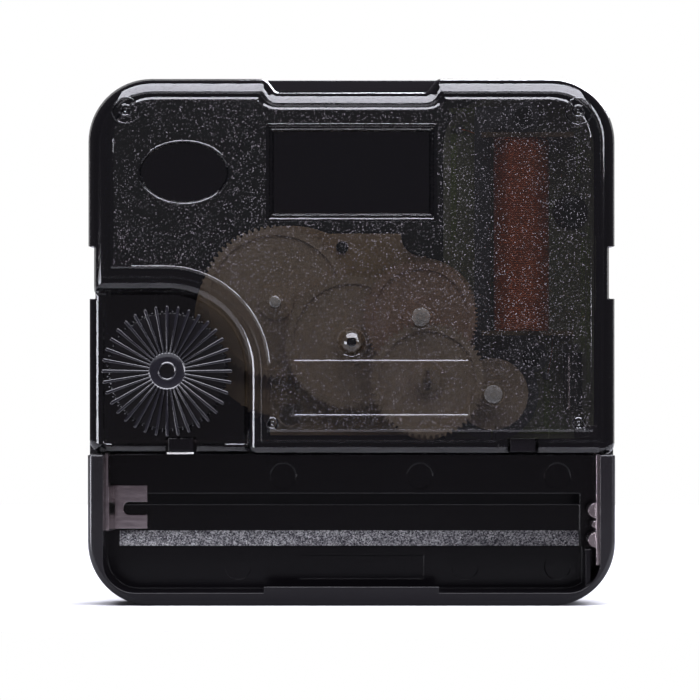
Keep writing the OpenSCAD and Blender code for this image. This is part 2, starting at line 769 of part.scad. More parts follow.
module coil_winding() color("#b4532a") stand_up() difference() {
    translate([coil_x, coil_y[0], coil_z]) rotate([-90, 0, 0])
        cylinder(r = coil_r, h = coil_y[1] - coil_y[0]);
    box([coil_x - tube_w / 2, coil_x + tube_w / 2], [coil_y[0] - past, coil_y[1] + past],
        [coil_z - tube_h / 2, coil_z + tube_h / 2]);
}

module coil_core() color("#8d8f92") stand_up() {
    z = [stator_z + stator_t, stator_z + 2 * stator_t];
    difference() {
        union() {
            box([coil_x - core_w / 2, coil_x + core_w / 2], [core_low[1], core_top[1]], z);
            for (p = [core_low, core_top]) at(p) rod(eye_r, z);
        }
        for (p = [core_low, core_top]) at(p) rod(rivet_r, [z[0] - past, z[1] + past]);
    }
}

// Stator: two plates with the rotor's hole between them
module stator_ring(z) at(rotor_at) ring(stator_r, stator_hole_r, z);

module stator_left() color("#7d8084") stand_up() {
    z = [stator_z, stator_z + stator_t];
    difference() {
        union() {
            stator_ring(z);
            box(strip_x, [rotor_at[1] + stator_hole_r + strip_foot, core_top[1] + strip_half], z);
            box([strip_x[0], core_top[0]], [core_top[1] - strip_half, core_top[1] + strip_half], z);
            at(core_top) rod(eye_r, z);
        }
        at(core_top) rod(rivet_r, [0, body_d]);
        box([rotor_at[0] - iron_gap, half], [-half, core_top[1] - strip_head], [0, body_d]);
    }
}

module stator_right() color("#7d8084") stand_up() {
    z = [stator_z, stator_z + stator_t];
    difference() {
        union() {
            stator_ring(z);
            at(core_low) rod(eye_r, z);
        }
        at(core_low) rod(rivet_r, [0, body_d]);
        box([0, rotor_at[0] + iron_gap], [-half, half], [0, body_d]);
    }
}

// Circuit board and what is on it
module circuit_board() color("#4e6f45") stand_up() difference() {
    slab([board_box[0], board_box[2]], [board_box[1], board_box[3]],
        board_low_r, corner_r - wall - board_play, [board_z, board_z + board_t]);
    rod(board_cut_r, [0, body_d]);
    for (p = [core_top, core_low, plate_posts[3]]) at(p) rod(post_r + play, [0, body_d]);
}

module chip_drop() color("#101012") stand_up() at(chip_at, board_z + board_t)
    rotate_extrude() polygon(concat(
        [[0, 0]],
        [for (k = [0:drop_steps]) [chip_r * cos(k * 90 / drop_steps), chip_h * sin(k * 90 / drop_steps)]]
    ));

module quartz_crystal() color("#c8ccd0") stand_up() {
    r = crystal_size[0] / 2;
    translate([crystal_at[0], crystal_at[1] - crystal_size[1] / 2, board_z + board_t + r])
        rotate([-90, 0, 0]) cylinder(r = r, h = crystal_size[1]);
}

// Battery contacts: nickel plated sheet
module battery_contact_negative() color("#cfd2d4") stand_up() {
    x = [-bay_x, -bay_x + sheet_t];
    y = left_contact_y;
    box(x, [y[0], chamber_low + sheet_t], [ledge_z, left_top]);
    translate([x[1], y[1], 0]) rotate([90, 0, 0]) linear_extrude(y[1] - y[0]) polygon(leaf);
    difference() {
        box([x[0], x[0] + left_contact_l], y, [ledge_z, ledge_z + sheet_t]);
        box([x[0] + left_slot_x, x[0] + left_contact_l + past], left_slot_y, [0, body_d]);
        at([x[0] + left_slot_x, (left_slot_y[0] + left_slot_y[1]) / 2])
            rod((left_slot_y[1] - left_slot_y[0]) / 2, [0, body_d]);
    }
    box([x[0], board_box[0] + left_tab_x[1]], [chamber_low, chamber_low + sheet_t],
        [left_rail_z, board_z - sheet_t]);
    box([board_box[0] + left_tab_x[0], board_box[0] + left_tab_x[1]],
        [chamber_low, chamber_low + left_tab_l], [board_z - sheet_t, board_z]);
}

module battery_contact_positive() color("#cfd2d4") stand_up() {
    x = [bay_x - sheet_t, bay_x];
    top = board_z + board_t;
    box(x, [right_y[0], bay_top], [ledge_z, right_top]);
    box(x, [bay_top - past, right_y[1]], [ledge_z, top + sheet_t]);
    box([right_tab[0], x[1]], [right_tab[1], right_y[1]], [top, top + sheet_t]);
    for (b = bumps) intersection() {
        at([x[0], b[0]]) rod(b[1], bump_z);
        box([x[0] - past, x[1]], [b[0] - past, b[0] + past], [0, body_d]);
    }
}

// Rotor: ring magnet on a moulded pinion
module rotor_magnet() color("#55504c") stand_up() at(rotor_at) ring(magnet_r, rotor_hub_r, magnet_z);

module rotor_pinion() color("#efe9dc") stand_up() at(rotor_at) {
    rod(pivot_r, [plate_z + end_play, pivot_top]);
    rod(rotor_hub_r, [magnet_z[0], rotor_flange_z[0] + weld]);
    rod(flange_r, rotor_flange_z);
    rod(arbor_r, [rotor_flange_z[1] - weld, boss_z - end_play]);
    gear(m_sixth, rotor_teeth, mesh_turn(sixth_at, rotor_at, sixth_teeth[0], rotor_teeth),
        [sixth_z - end_play, sixth_z + wheel_t + end_play]);
}

// Wheels of the train, each one moulding with its pinion
module web(tip, z) difference() {
    children();
    ring(tip - rim_w, web_hub_r, [z[1] - web_d, z[1] + past]);
}

module sixth_wheel() color("#efe9dc") stand_up() at(sixth_at) {
    z = [sixth_z, sixth_z + wheel_t];
    rod(pivot_r, [fifth_z - 1.3, pivot_top]);
    web(m_sixth * sixth_teeth[0] / 2, z) gear(m_sixth, sixth_teeth[0], 0, z);
    gear(m_fifth, sixth_teeth[1], mesh_turn(fifth_at, sixth_at, fifth_teeth[0], sixth_teeth[1]),
        [fifth_z - end_play, sixth_z + weld]);
    difference() {
        rod(sixth_hub_r, [sixth_z, boss_z - end_play]);
        box([-sixth_slot[0], sixth_slot[0]], [-sixth_slot[1], sixth_slot[1]],
            [boss_z - end_play - sixth_slot[2], boss_z]);
    }
}

module fifth_wheel() color("#ecdccb") stand_up() at(fifth_at) {
    z = [fifth_z, fifth_z + wheel_t];
    rod(pivot_r, [second_z - 1.2, pivot_top]);
    web(m_fifth * fifth_teeth[0] / 2, z) gear(m_fifth, fifth_teeth[0], 0, z);
    gear(m_second, fifth_teeth[1], mesh_turn(centre_at, fifth_at, second_teeth[0], fifth_teeth[1]),
        [second_z - weld, fifth_z + weld]);
    rod(arbor_r, [fifth_z, boss_z - end_play]);
}

module second_wheel() color("#e4dcc4") stand_up() difference() {
    z = [second_z, second_z + wheel_t];
    union() {
        web(m_second * second_teeth[0] / 2, z) gear(m_second, second_teeth[0], 0, z);
        gear(m_third, second_teeth[1], mesh_turn(third_at, centre_at, third_teeth[0], second_teeth[1]),
            [third_z - end_play, second_z + weld]);
        rod(second_hub_r, [second_z, second_z + second_hub_l]);
    }
    rod(second_r, [0, body_d]);
}

module second_arbor() color("#b9bcc0") stand_up() {
    rod(second_r, [-second_l, boss_z - end_play]);
    rod(second_run_r, [-minute_l, cannon_top - end_play]);
    rod(pivot_r, [boss_z - past, pivot_top]);
}

module third_wheel() color("#dccfae") stand_up() at(third_at) {
    z = [third_z, third_z + wheel_t];
    rod(pivot_r, [third_post_z - pivot_l, pivot_top]);
    web(m_third * third_teeth[0] / 2, z) gear(m_third, third_teeth[0], 0, z);
    gear(m_centre, third_teeth[1], mesh_turn(centre_at, third_at, centre_teeth, third_teeth[1]),
        [centre_z - weld, centre_z + wheel_t + weld]);
    rod(arbor_r, [centre_z, boss_z - end_play]);
}

module centre_wheel() color("#efe9dc") stand_up() difference() {
    gear(m_centre, centre_teeth, 0, [centre_z, centre_z + wheel_t]);
    rod(cannon_hub_r + clutch_gap, [0, body_d]);
}

// Minute pipe with its pinion and the spring of the friction clutch
module clutch_spring() color("#c8ccd0") stand_up()
    ring(spring_r, cannon_hub_r, [spring_z, spring_z + spring_t]);

module minute_pipe() color("#cfa850") stand_up() difference() {
    union() {
        intersection() {
            rod(minute_r, [-minute_l, motion_z]);
            union() {
                box([-minute_flats / 2, minute_flats / 2], [-half, half], [-minute_l, motion_z]);
                rod(minute_r, [-minute_l + minute_flat_l, motion_z]);
            }
        }
        gear(m_cannon, cannon_teeth, mesh_turn(motion_at, centre_at, motion_teeth[0], cannon_teeth),
            [motion_z, motion_z + pinion_l], 5);
        rod(cannon_hub_r, [motion_z, cannon_top]);
    }
    rod(second_run_r + run_gap, [-minute_l - past, cannon_top + past]);
}

module motion_wheel() color("#efe9dc") stand_up() at(motion_at) difference() {
    union() {
        gear(m_cannon, motion_teeth[0], 0, [motion_z, motion_z + pinion_l], 4);
        gear(m_hour, motion_teeth[1], mesh_turn(centre_at, motion_at, hour_teeth, motion_teeth[1]),
            [hour_z - end_play, motion_z + weld], 5);
    }
    rod(motion_pin_r + run_gap, [0, body_d]);
}

module hour_wheel() color("#e8c27a") stand_up() difference() {
    union() {
        gear(m_hour, hour_teeth, 0, [hour_z, hour_z + hour_wheel_t], 4);
        rod(hour_r, [-hour_l, hour_z]);
        rod(hour_run_r, [-bush_l, hour_z + weld]);
    }
    rod(minute_r + run_gap, [-hour_l - past, body_d]);
}

// Setting shaft with its wheel, and the knob pressed on it
module setting_gear() color("#1c1c20") stand_up() at(knob_at) {
    rod(setting_pivot_r, [front_t + play, shaft_post_z + end_play + weld]);
    rod(setting_r, [shaft_post_z + end_play, knob_z]);
    rod(setting_tip_r, [knob_z - past, setting_tip_z]);
    gear(m_cannon, setting_teeth, mesh_turn(motion_at, knob_at, motion_teeth[0], setting_teeth),
        [motion_z, motion_z + pinion_l], 4);
}

module setting_knob() color("#1c1c20") stand_up() at(knob_at) difference() {
    union() {
        rod(knob_disc_r, [knob_z, knob_z + knob_disc_t]);
        rod(knob_hub_r, [knob_z, knob_top]);
        for (k = [0:knob_ribs - 1]) rotate([0, 0, k * 360 / knob_ribs]) {
            box([knob_hub_r - weld, knob_r - rib_t / 2], [-rib_t / 2, rib_t / 2], [knob_z, knob_top]);
            translate([knob_r - rib_t / 2, 0, 0]) rod(rib_t / 2, [knob_z, knob_top]);
            rotate([0, 0, 180 / knob_ribs]) translate([knob_disc_r, 0, 0])
                rod(bead_r, [knob_z, knob_z + knob_disc_t]);
        }
    }
    rod(setting_tip_r, [knob_z - past, setting_tip_z]);
    rod(knob_hole_r, [knob_z, knob_top + past]);
}

front_case();
rear_cover();
threaded_bush();
middle_plate();
coil_bobbin();
coil_winding();
coil_core();
stator_left();
stator_right();
circuit_board();
chip_drop();
quartz_crystal();
battery_contact_negative();
battery_contact_positive();
rotor_magnet();
rotor_pinion();
sixth_wheel();
fifth_wheel();
second_wheel();
second_arbor();
third_wheel();
centre_wheel();
clutch_spring();
minute_pipe();
motion_wheel();
hour_wheel();
setting_gear();
setting_knob();
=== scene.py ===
"""Looks of a quartz clock movement, seen from behind: black case, smoky clear cover, knob and cell bay.

Sizes are in millimetres, unless a comment says metres, in the bench frame of the part's source: x to the
right as seen from behind, y towards twelve o'clock, z from the dial seat towards the rear. stand_up turns a
point of it upright.
"""
import math

import bmesh
import bpy
from mathutils import Matrix, Vector


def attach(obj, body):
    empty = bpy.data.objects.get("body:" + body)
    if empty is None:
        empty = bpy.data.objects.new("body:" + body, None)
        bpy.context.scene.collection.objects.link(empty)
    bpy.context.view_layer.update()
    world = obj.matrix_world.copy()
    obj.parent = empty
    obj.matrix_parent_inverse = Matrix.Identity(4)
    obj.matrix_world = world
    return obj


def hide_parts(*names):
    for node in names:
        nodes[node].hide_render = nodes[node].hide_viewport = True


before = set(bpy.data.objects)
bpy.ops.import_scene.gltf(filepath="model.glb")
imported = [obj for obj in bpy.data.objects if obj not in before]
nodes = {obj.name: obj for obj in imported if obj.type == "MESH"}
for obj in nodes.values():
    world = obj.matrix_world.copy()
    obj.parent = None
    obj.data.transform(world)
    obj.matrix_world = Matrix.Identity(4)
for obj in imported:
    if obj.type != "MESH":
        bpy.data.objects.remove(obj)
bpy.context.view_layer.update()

# ---- Studio ------------------------------------------------------------------------------------------------
# The movement stands on its lower edge on a pale floor. A long lens looks straight at its rear, as in a
# catalogue photograph, with softboxes above, at both sides and beyond the dial, and white paper all round.
BODY_HALF = 28
FLOOR_DROP = 0.02
FLOOR_HALF, FLOOR_FRONT, FLOOR_BACK = 500, 80, 450
FOCAL, SENSOR = 350, 36
VIEW_WIDTH = 74.8
VIEW_CENTRE = (-0.16, -0.85)
SHARP_PLANE = 11


def linear(colour):
    """An sRGB hex colour as linear red, green, blue and alpha."""
    parts = [int(colour[i:i + 2], 16) / 255 for i in (1, 3, 5)]
    return [p / 12.92 if p <= 0.04045 else ((p + 0.055) / 1.055) ** 2.4 for p in parts] + [1]


def add(tree, kind, settings=None, links=None):
    """Adds a node: a setting is one of its properties or inputs, and a link joins an output to an input."""
    node = tree.nodes.new(kind)
    for name, value in (settings or {}).items():
        if isinstance(name, str) and hasattr(node, name):
            setattr(node, name, value)
        else:
            node.inputs[name].default_value = value
    for name, source in (links or {}).items():
        tree.links.new(source, node.inputs[name])
    return node


def finish_of(name, settings, build=None):
    """A material of that name. build gets the tree and the Principled node, to add what varies."""
    material = bpy.data.materials.new(name)
    material.use_nodes = True
    tree = material.node_tree
    tree.nodes.clear()
    skin = add(tree, "ShaderNodeBsdfPrincipled", settings)
    add(tree, "ShaderNodeOutputMaterial", links={"Surface": skin.outputs["BSDF"]})
    if build:
        build(tree, skin)
    return material


def stand_up(x, y, z):
    """A bench point in millimetres as a point of the upright part in metres."""
    return (x / 1000, -z / 1000, y / 1000)


distance = VIEW_WIDTH / 1000 * FOCAL / SENSOR
lens = bpy.data.cameras.new("camera")
lens.lens = FOCAL
lens.sensor_width = SENSOR
lens.clip_end = 10
camera = bpy.data.objects.new("camera", lens)
camera.location = (VIEW_CENTRE[0] / 1000, -SHARP_PLANE / 1000 - distance, VIEW_CENTRE[1] / 1000)
camera.rotation_euler = (math.radians(90), 0, 0)
bpy.context.scene.collection.objects.link(camera)
bpy.context.scene.camera = camera
bpy.context.scene.view_settings.view_transform = "Standard"

# White paper all round for the eye, much dimmer as a light
world = bpy.data.worlds.new("paper")
world.use_nodes = True
tree = world.node_tree
tree.nodes.clear()
seen = add(tree, "ShaderNodeLightPath")
paper = add(tree, "ShaderNodeBackground", {"Color": linear("#ffffff"), "Strength": 1.0})
room = add(tree, "ShaderNodeBackground", {"Color": linear("#ebe3f2"), "Strength": 0.23})
either = add(tree, "ShaderNodeMixShader", links={
    0: seen.outputs["Is Camera Ray"], 1: room.outputs[0], 2: paper.outputs[0]})
add(tree, "ShaderNodeOutputWorld", links={"Surface": either.outputs[0]})
bpy.context.scene.world = world

# Softboxes: name, place and size (across and up) in metres, power in watts
for name, place, size, power in (
    ("softbox_top", (0.0, -0.26, 0.52), (0.8, 0.62), 25),
    ("softbox_left", (-0.446, -0.41, -0.21), (0.22, 0.47), 6.5),
    ("softbox_right", (0.46, -0.41, 0.26), (0.12, 0.48), 3),
    ("softbox_dial", (0.25, 0.70, 0.45), (0.5, 0.5), 14),
):
    light = bpy.data.lights.new(name, "AREA")
    light.shape = "RECTANGLE"
    light.size, light.size_y = size
    light.energy = power
    light.color = linear("#f4f4ff")[:3]
    lamp = bpy.data.objects.new(name, light)
    lamp.location = place
    lamp.rotation_euler = (-Vector(place)).to_track_quat("-Z", "Y").to_euler()
    bpy.context.scene.collection.objects.link(lamp)

floor_mesh = bpy.data.meshes.new("floor")
floor_mesh.from_pydata([stand_up(x, -BODY_HALF - FLOOR_DROP, z) for x, z in (
    (-FLOOR_HALF, FLOOR_FRONT), (FLOOR_HALF, FLOOR_FRONT), (FLOOR_HALF, -FLOOR_BACK),
    (-FLOOR_HALF, -FLOOR_BACK))], [], [(0, 1, 2, 3)])
floor = bpy.data.objects.new("floor", floor_mesh)
bpy.context.scene.collection.objects.link(floor)
floor_mesh.materials.append(finish_of("white_card", {"Base Color": linear("#9a9a9c"), "Roughness": 0.9}))

# ---- Front case --------------------------------------------------------------------------------------------
# One moulding of black polystyrene, the tray for the works with the cell's bay below it. The mould was left
# satin outside and finer in the bay, and one slope under the cell was spark-eroded coarsely. That slope's
# brightness, the light it catches from above, is painted into its colour as a painted highlight.
# The bay and the slope are ranges along the axes of the upright part, and the foot is a range of its height.
BAY = {"X": (-26.45, 26.45), "Y": (-15.7, -0.7), "Z": (-26.7, -9.8)}
ROUGH_SLOPE_PAINTED_HIGHLIGHT = {"X": (-25.1, 24.6), "Y": (-1.28, -0.7), "Z": (-22.1, -20.4)}
FOOT = (-27.5, -19.5)


def dress(node, material):
    """Gives a CAD node its finish."""
    nodes[node].data.materials.clear()
    nodes[node].data.materials.append(material)


def inside(tree, place, box):
    """1 where a point lies in a box of the upright part, and 0 elsewhere."""
    axes = add(tree, "ShaderNodeSeparateXYZ", links={"Vector": place})
    share = None
    for axis, (low, high) in box.items():
        for operation, limit in (("GREATER_THAN", low), ("LESS_THAN", high)):
            test = add(tree, "ShaderNodeMath", {"operation": operation, 1: limit / 1000},
                       {0: axes.outputs[axis]})
            if share:
                test = add(tree, "ShaderNodeMath", {"operation": "MULTIPLY"}, {0: share, 1: test.outputs[0]})
            share = test.outputs[0]
    return share


def satin(tree, skin):
    place = add(tree, "ShaderNodeTexCoord").outputs["Object"]
    # Satin grain of 0.1 mm, and edges broken by 0.12 mm
    grain = add(tree, "ShaderNodeTexNoise", {"Scale": 9000, "Detail": 2}, {"Vector": place})
    edge = add(tree, "ShaderNodeBevel", {"samples": 6, "Radius": 0.00012})
    # Pits of 0.12 mm on the rough slope, with a painted highlight: pale dots on blue grey stand in for the
    # light the slope catches from the softbox above
    pits = add(tree, "ShaderNodeTexVoronoi", {"Scale": 8200}, {"Vector": place})
    cloud = add(tree, "ShaderNodeTexNoise", {"Scale": 900, "Detail": 3}, {"Vector": place})
    lone = add(tree, "ShaderNodeSeparateColor", links={"Color": pits.outputs["Color"]})
    dots = add(tree, "ShaderNodeMath", {"operation": "POWER", 1: 1.6}, {0: lone.outputs["Red"]})
    highlight_share = add(tree, "ShaderNodeMath", {"operation": "MULTIPLY"},
                {0: dots.outputs[0], 1: cloud.outputs["Fac"]})
    painted_slope_highlight = add(tree, "ShaderNodeMix", {"data_type": "RGBA", 6: linear("#2c2b33"), 7: linear("#ffffff")},
                 {0: highlight_share.outputs[0]})
    # The case's black, with the painted highlight on the slope
    colour = add(tree, "ShaderNodeMix", {"data_type": "RGBA", 6: linear("#070608")},
                 {0: inside(tree, place, ROUGH_SLOPE_PAINTED_HIGHLIGHT), 7: painted_slope_highlight.outputs[2]})
    # Sharper but weaker reflections in the bay
    bay = inside(tree, place, BAY)
    gleam = add(tree, "ShaderNodeMapRange", {"To Min": 0.5, "To Max": 0.25}, {"Value": bay})
    blur = add(tree, "ShaderNodeMapRange", {"To Min": 0.2, "To Max": 0.14}, {"Value": bay})
    # Less gloss towards the foot, which would mirror the lit floor
    axes = add(tree, "ShaderNodeSeparateXYZ", links={"Vector": place})
    dulled = add(tree, "ShaderNodeMapRange", {
        "From Min": FOOT[0] / 1000, "From Max": FOOT[1] / 1000, "To Min": 0.18, "To Max": 1},
        {"Value": axes.outputs["Z"]})
    gleam = add(tree, "ShaderNodeMath", {"operation": "MULTIPLY"},
                {0: gleam.outputs[0], 1: dulled.outputs[0]})
    bump = add(tree, "ShaderNodeBump", {"Strength": 0.06, "Distance": 0.00001},
               {"Height": grain.outputs["Fac"], "Normal": edge.outputs["Normal"]})
    for target, source in (("Base Color", colour.outputs[2]), ("Specular IOR Level", gleam.outputs[0]),
                           ("Roughness", blur.outputs[0]), ("Normal", bump.outputs[0])):
        tree.links.new(source, skin.inputs[target])


# Black polystyrene with the mould's satin grain
dress("front_case", finish_of("satin_polystyrene", {"IOR": 1.59}, satin))

# ---- Threaded bush -----------------------------------------------------------------------------------------
# Turned from free-cutting brass, with a fine thread for the nut that clamps the dial, and moulded into the
# case.
THREAD_PITCH, THREAD_R, BUSH_L, BORE_R = 0.75, 4.0, 6.0, 2.75
COLLAR_R, FLANGE_R = 4.25, 5.2


def oval(at, half, z, steps=72):
    turns = [2 * math.pi * k / steps for k in range(steps)]
    return [(at[0] + half[0] * math.cos(a), at[1] + half[1] * math.sin(a), z) for a in turns]


def circle(at, radius, z, steps=32):
    return oval(at, (radius, radius), z, steps)


def verts_of(bm, points):
    return [bm.verts.new(stand_up(*p)) for p in points]


def skin_between(bm, loops, material=0):
    """Quads between loops that have the same number of points."""
    for below, above in zip(loops, loops[1:]):
        for i, low in enumerate(below):
            j = (i + 1) % len(below)
            bm.faces.new((low, below[j], above[j], above[i])).material_index = material


def closed_mesh(name, bm, materials):
    """Turns a bmesh into an object with its faces outwards."""
    bmesh.ops.remove_doubles(bm, verts=bm.verts, dist=1e-7)
    bmesh.ops.recalc_face_normals(bm, faces=bm.faces)
    mesh = bpy.data.meshes.new(name)
    bm.to_mesh(mesh)
    bm.free()
    for material in materials:
        mesh.materials.append(material)
    piece = bpy.data.objects.new(name, mesh)
    bpy.context.scene.collection.objects.link(piece)
    return piece


def lathe(bm, at, profile, steps=64):
    """A turned body: a closed profile of radius and height, taken round an axis."""
    loops = [verts_of(bm, circle(at, r, z, steps)) for r, z in profile]
    skin_between(bm, loops + loops[:1])


def grown(name, sizes, build):
    """A piece from Geometry Nodes. sizes are its named inputs, with its Material among them. build gets the
    tree and the input sockets, and returns the geometry."""
    tree = bpy.data.node_groups.new(name, "GeometryNodeTree")
    kinds = {int: "NodeSocketInt", float: "NodeSocketFloat", bpy.types.Object: "NodeSocketObject",
             bpy.types.Material: "NodeSocketMaterial"}
    sockets = {}
    for label, value in sizes.items():
        sockets[label] = tree.interface.new_socket(name=label, in_out="INPUT", socket_type=kinds[type(value)])
    tree.interface.new_socket(name="Geometry", in_out="OUTPUT", socket_type="NodeSocketGeometry")
    inputs = add(tree, "NodeGroupInput").outputs
    shade = add(tree, "GeometryNodeSetMaterial", links={
        "Geometry": build(tree, inputs), "Material": inputs["Material"]})
    add(tree, "NodeGroupOutput", links={0: shade.outputs[0]})
    piece = bpy.data.objects.new(name, bpy.data.meshes.new(name))
    bpy.context.scene.collection.objects.link(piece)
    growth = piece.modifiers.new("growth", "NODES")
    growth.node_group = tree
    for label, value in sizes.items():
        growth[sockets[label].identifier] = value
    settle(piece)
    return piece


def helix(sides, steps, upright=False):
    """For grown: a helix of that many steps a turn, swept with a section of that many sides."""
    def build(tree, size):
        spiral = add(tree, "GeometryNodeCurveSpiral", {"Resolution": steps}, {
            "Rotations": size["Turns"], "Start Radius": size["Radius"], "End Radius": size["Radius"],
            "Height": size["Length"]})
        path = spiral.outputs[0]
        if upright:
            path = add(tree, "GeometryNodeSetCurveNormal", {"mode": "Z_UP"}, {"Curve": path}).outputs[0]
        section = add(tree, "GeometryNodeCurvePrimitiveCircle", {"Resolution": sides},
                      {"Radius": size["Section"]})
        swept = add(tree, "GeometryNodeCurveToMesh", {"Fill Caps": True}, {
            "Curve": path, "Profile Curve": section.outputs["Curve"]})
        return swept.outputs[0]
    return build


def settle(piece):
    """Applies a piece's modifiers."""
    bpy.context.view_layer.update()
    result = bpy.data.meshes.new_from_object(piece.evaluated_get(bpy.context.evaluated_depsgraph_get()))
    piece.modifiers.clear()
    old = piece.data
    piece.data = result
    bpy.data.meshes.remove(old)


def smooth(piece, degrees):
    """Shades the curves smoothly and keeps flat faces flat."""
    piece.data.shade_smooth()
    piece.data.set_sharp_from_angle(angle=math.radians(degrees))
    flat = piece.modifiers.new("flat_faces", "WEIGHTED_NORMAL")
    flat.keep_sharp = True
    flat.weight = 100


def stands_for(piece, node, body):
    """Lets a piece take a CAD node's place."""
    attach(piece, body)
    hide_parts(node)


def join(piece, others):
    """Adds other pieces' meshes to a piece and removes them."""
    bm = bmesh.new()
    for item in (piece, *others):
        bm.from_mesh(item.data)
    bm.to_mesh(piece.data)
    bm.free()
    for item in others:
        drop(item)


def drop(item):
    mesh = item.data
    bpy.data.objects.remove(item)
    bpy.data.meshes.remove(mesh)


def worked(low, high, scale, stretch=(1, 1, 1), blur=(0.3, 0.4), depth=0.01, edge=0.05):
    """Surface of a worked or moulded piece: two close tints and two roughnesses mixed by a noise of scale
    marks per metre, drawn out by stretch, depth mm deep, and edges broken by edge mm."""
    def build(tree, skin):
        place = add(tree, "ShaderNodeTexCoord").outputs["Object"]
        drawn = add(tree, "ShaderNodeVectorMath", {"operation": "MULTIPLY", 1: stretch}, {0: place})
        marks = add(tree, "ShaderNodeTexNoise", {"Scale": scale, "Detail": 3}, {"Vector": drawn.outputs[0]})
        tint = add(tree, "ShaderNodeMix", {"data_type": "RGBA", 6: linear(low), 7: linear(high)},
                   {0: marks.outputs["Fac"]})
        soft = add(tree, "ShaderNodeMapRange", {"To Min": blur[0], "To Max": blur[1]},
                   {"Value": marks.outputs["Fac"]})
        broken = add(tree, "ShaderNodeBevel", {"samples": 4, "Radius": edge / 1000})
        bump = add(tree, "ShaderNodeBump", {"Strength": 0.3, "Distance": depth / 1000},
                   {"Height": marks.outputs["Fac"], "Normal": broken.outputs["Normal"]})
        for target, source in (("Base Color", tint.outputs[2]), ("Roughness", soft.outputs[0]),
                               ("Normal", bump.outputs[0])):
            tree.links.new(source, skin.inputs[target])
    return build


# Turned brass: fine grooves round the axis
turned_brass = finish_of("turned_brass", {"Metallic": 1}, worked(
    "#c79f55", "#e2c07c", 900, (1, 12, 1), (0.2, 0.32)))
bush = bmesh.new()
core_r = THREAD_R - THREAD_PITCH / 2
lathe(bush, (0, 0), [
    (BORE_R, -BUSH_L + 0.15), (BORE_R + 0.15, -BUSH_L), (core_r - 0.15, -BUSH_L), (core_r, -BUSH_L + 0.15),
    (core_r, 0), (COLLAR_R, 0), (COLLAR_R, 0.4), (FLANGE_R, 0.4), (FLANGE_R, 1.2), (BORE_R, 1.2)])
bush = closed_mesh("threaded_bush_cut", bush, [turned_brass])
ridge_room = THREAD_PITCH / 2 + 0.05
thread_l = BUSH_L - 2 * ridge_room
# Its ridges have a diamond section, half sunk in the core
ridges = grown("thread_ridges", {
    "Turns": thread_l / THREAD_PITCH, "Radius": core_r / 1000, "Length": thread_l / 1000,
    "Section": THREAD_PITCH / 2000, "Material": turned_brass}, helix(4, 48, upright=True))
ridges.data.transform(Matrix.Translation((0, ridge_room / 1000, 0)) @ Matrix.Rotation(-math.pi / 2, 4, "X"))
join(bush, [ridges])
smooth(bush, 30)
stands_for(bush, "threaded_bush", "body")

# ---- Middle plate and bobbin -------------------------------------------------------------------------------
# Natural acetal, a waxy cream white, moulded and heat-riveted to the case's posts. The bobbin is of the same
# plastic, from a browner batch.
dress("middle_plate", finish_of("natural_acetal", {}, worked(
    "#bfa27e", "#cfb48f", 260, blur=(0.4, 0.5), depth=0.005)))
dress("coil_bobbin", finish_of("bobbin_acetal", {}, worked(
    "#6b573f", "#7d6a50", 260, blur=(0.4, 0.5), depth=0.005)))

# ---- Motor -------------------------------------------------------------------------------------------------
# A stepping motor: bare silicon steel stampings clinched together, a bonded ring magnet on the rotor, and a
# coil of enamelled copper wire. The real wire is a hair; the turns drawn here are 0.2 mm wide, so that they
# show.
COIL_X, COIL_Z = 18.2, 8.6
COIL_LOW, COIL_HIGH, COIL_R, COIL_BORE_R, WIRE = 1.2, 21.9, 3.0, 2.2, 0.2

# Rolled and stamped steel, brushed lengthwise
core_steel = finish_of("silicon_steel", {"Metallic": 1}, worked(
    "#77787b", "#929396", 700, (6, 1, 1), (0.38, 0.5)))
for name in ("coil_core", "stator_left", "stator_right"):
    dress(name, core_steel)
# Ferrite powder in a binder
dress("rotor_magnet", finish_of("bonded_magnet", {}, worked("#3f3b39", "#57524e", 5000, blur=(0.5, 0.7))))
# Copper under a clear enamel
wire_copper = finish_of("enamelled_copper", {"Metallic": 0.35, "Coat Weight": 0.4}, worked(
    "#c2592b", "#e0784a", 500, blur=(0.3, 0.42)))
coil_l = COIL_HIGH - COIL_LOW
winding = bmesh.new()
lathe(winding, (0, 0), [(COIL_BORE_R, 0), (COIL_R - WIRE / 2, 0), (COIL_R - WIRE / 2, coil_l),
                        (COIL_BORE_R, coil_l)])
winding = closed_mesh("coil_winding_turns", winding, [wire_copper])
winding.data.transform(Matrix.Rotation(-math.pi / 2, 4, "X"))
wires = grown("wire_turns", {
    "Turns": coil_l / WIRE - 2, "Radius": (COIL_R - WIRE / 2) / 1000, "Length": (coil_l - 2 * WIRE) / 1000,
    "Section": WIRE / 2000, "Material": wire_copper}, helix(6, 40))
wires.data.transform(Matrix.Translation((0, 0, WIRE / 1000)))
join(winding, [wires])
winding.data.transform(Matrix.Translation(stand_up(COIL_X, COIL_LOW, COIL_Z)))
smooth(winding, 60)
stands_for(winding, "coil_winding", "body")

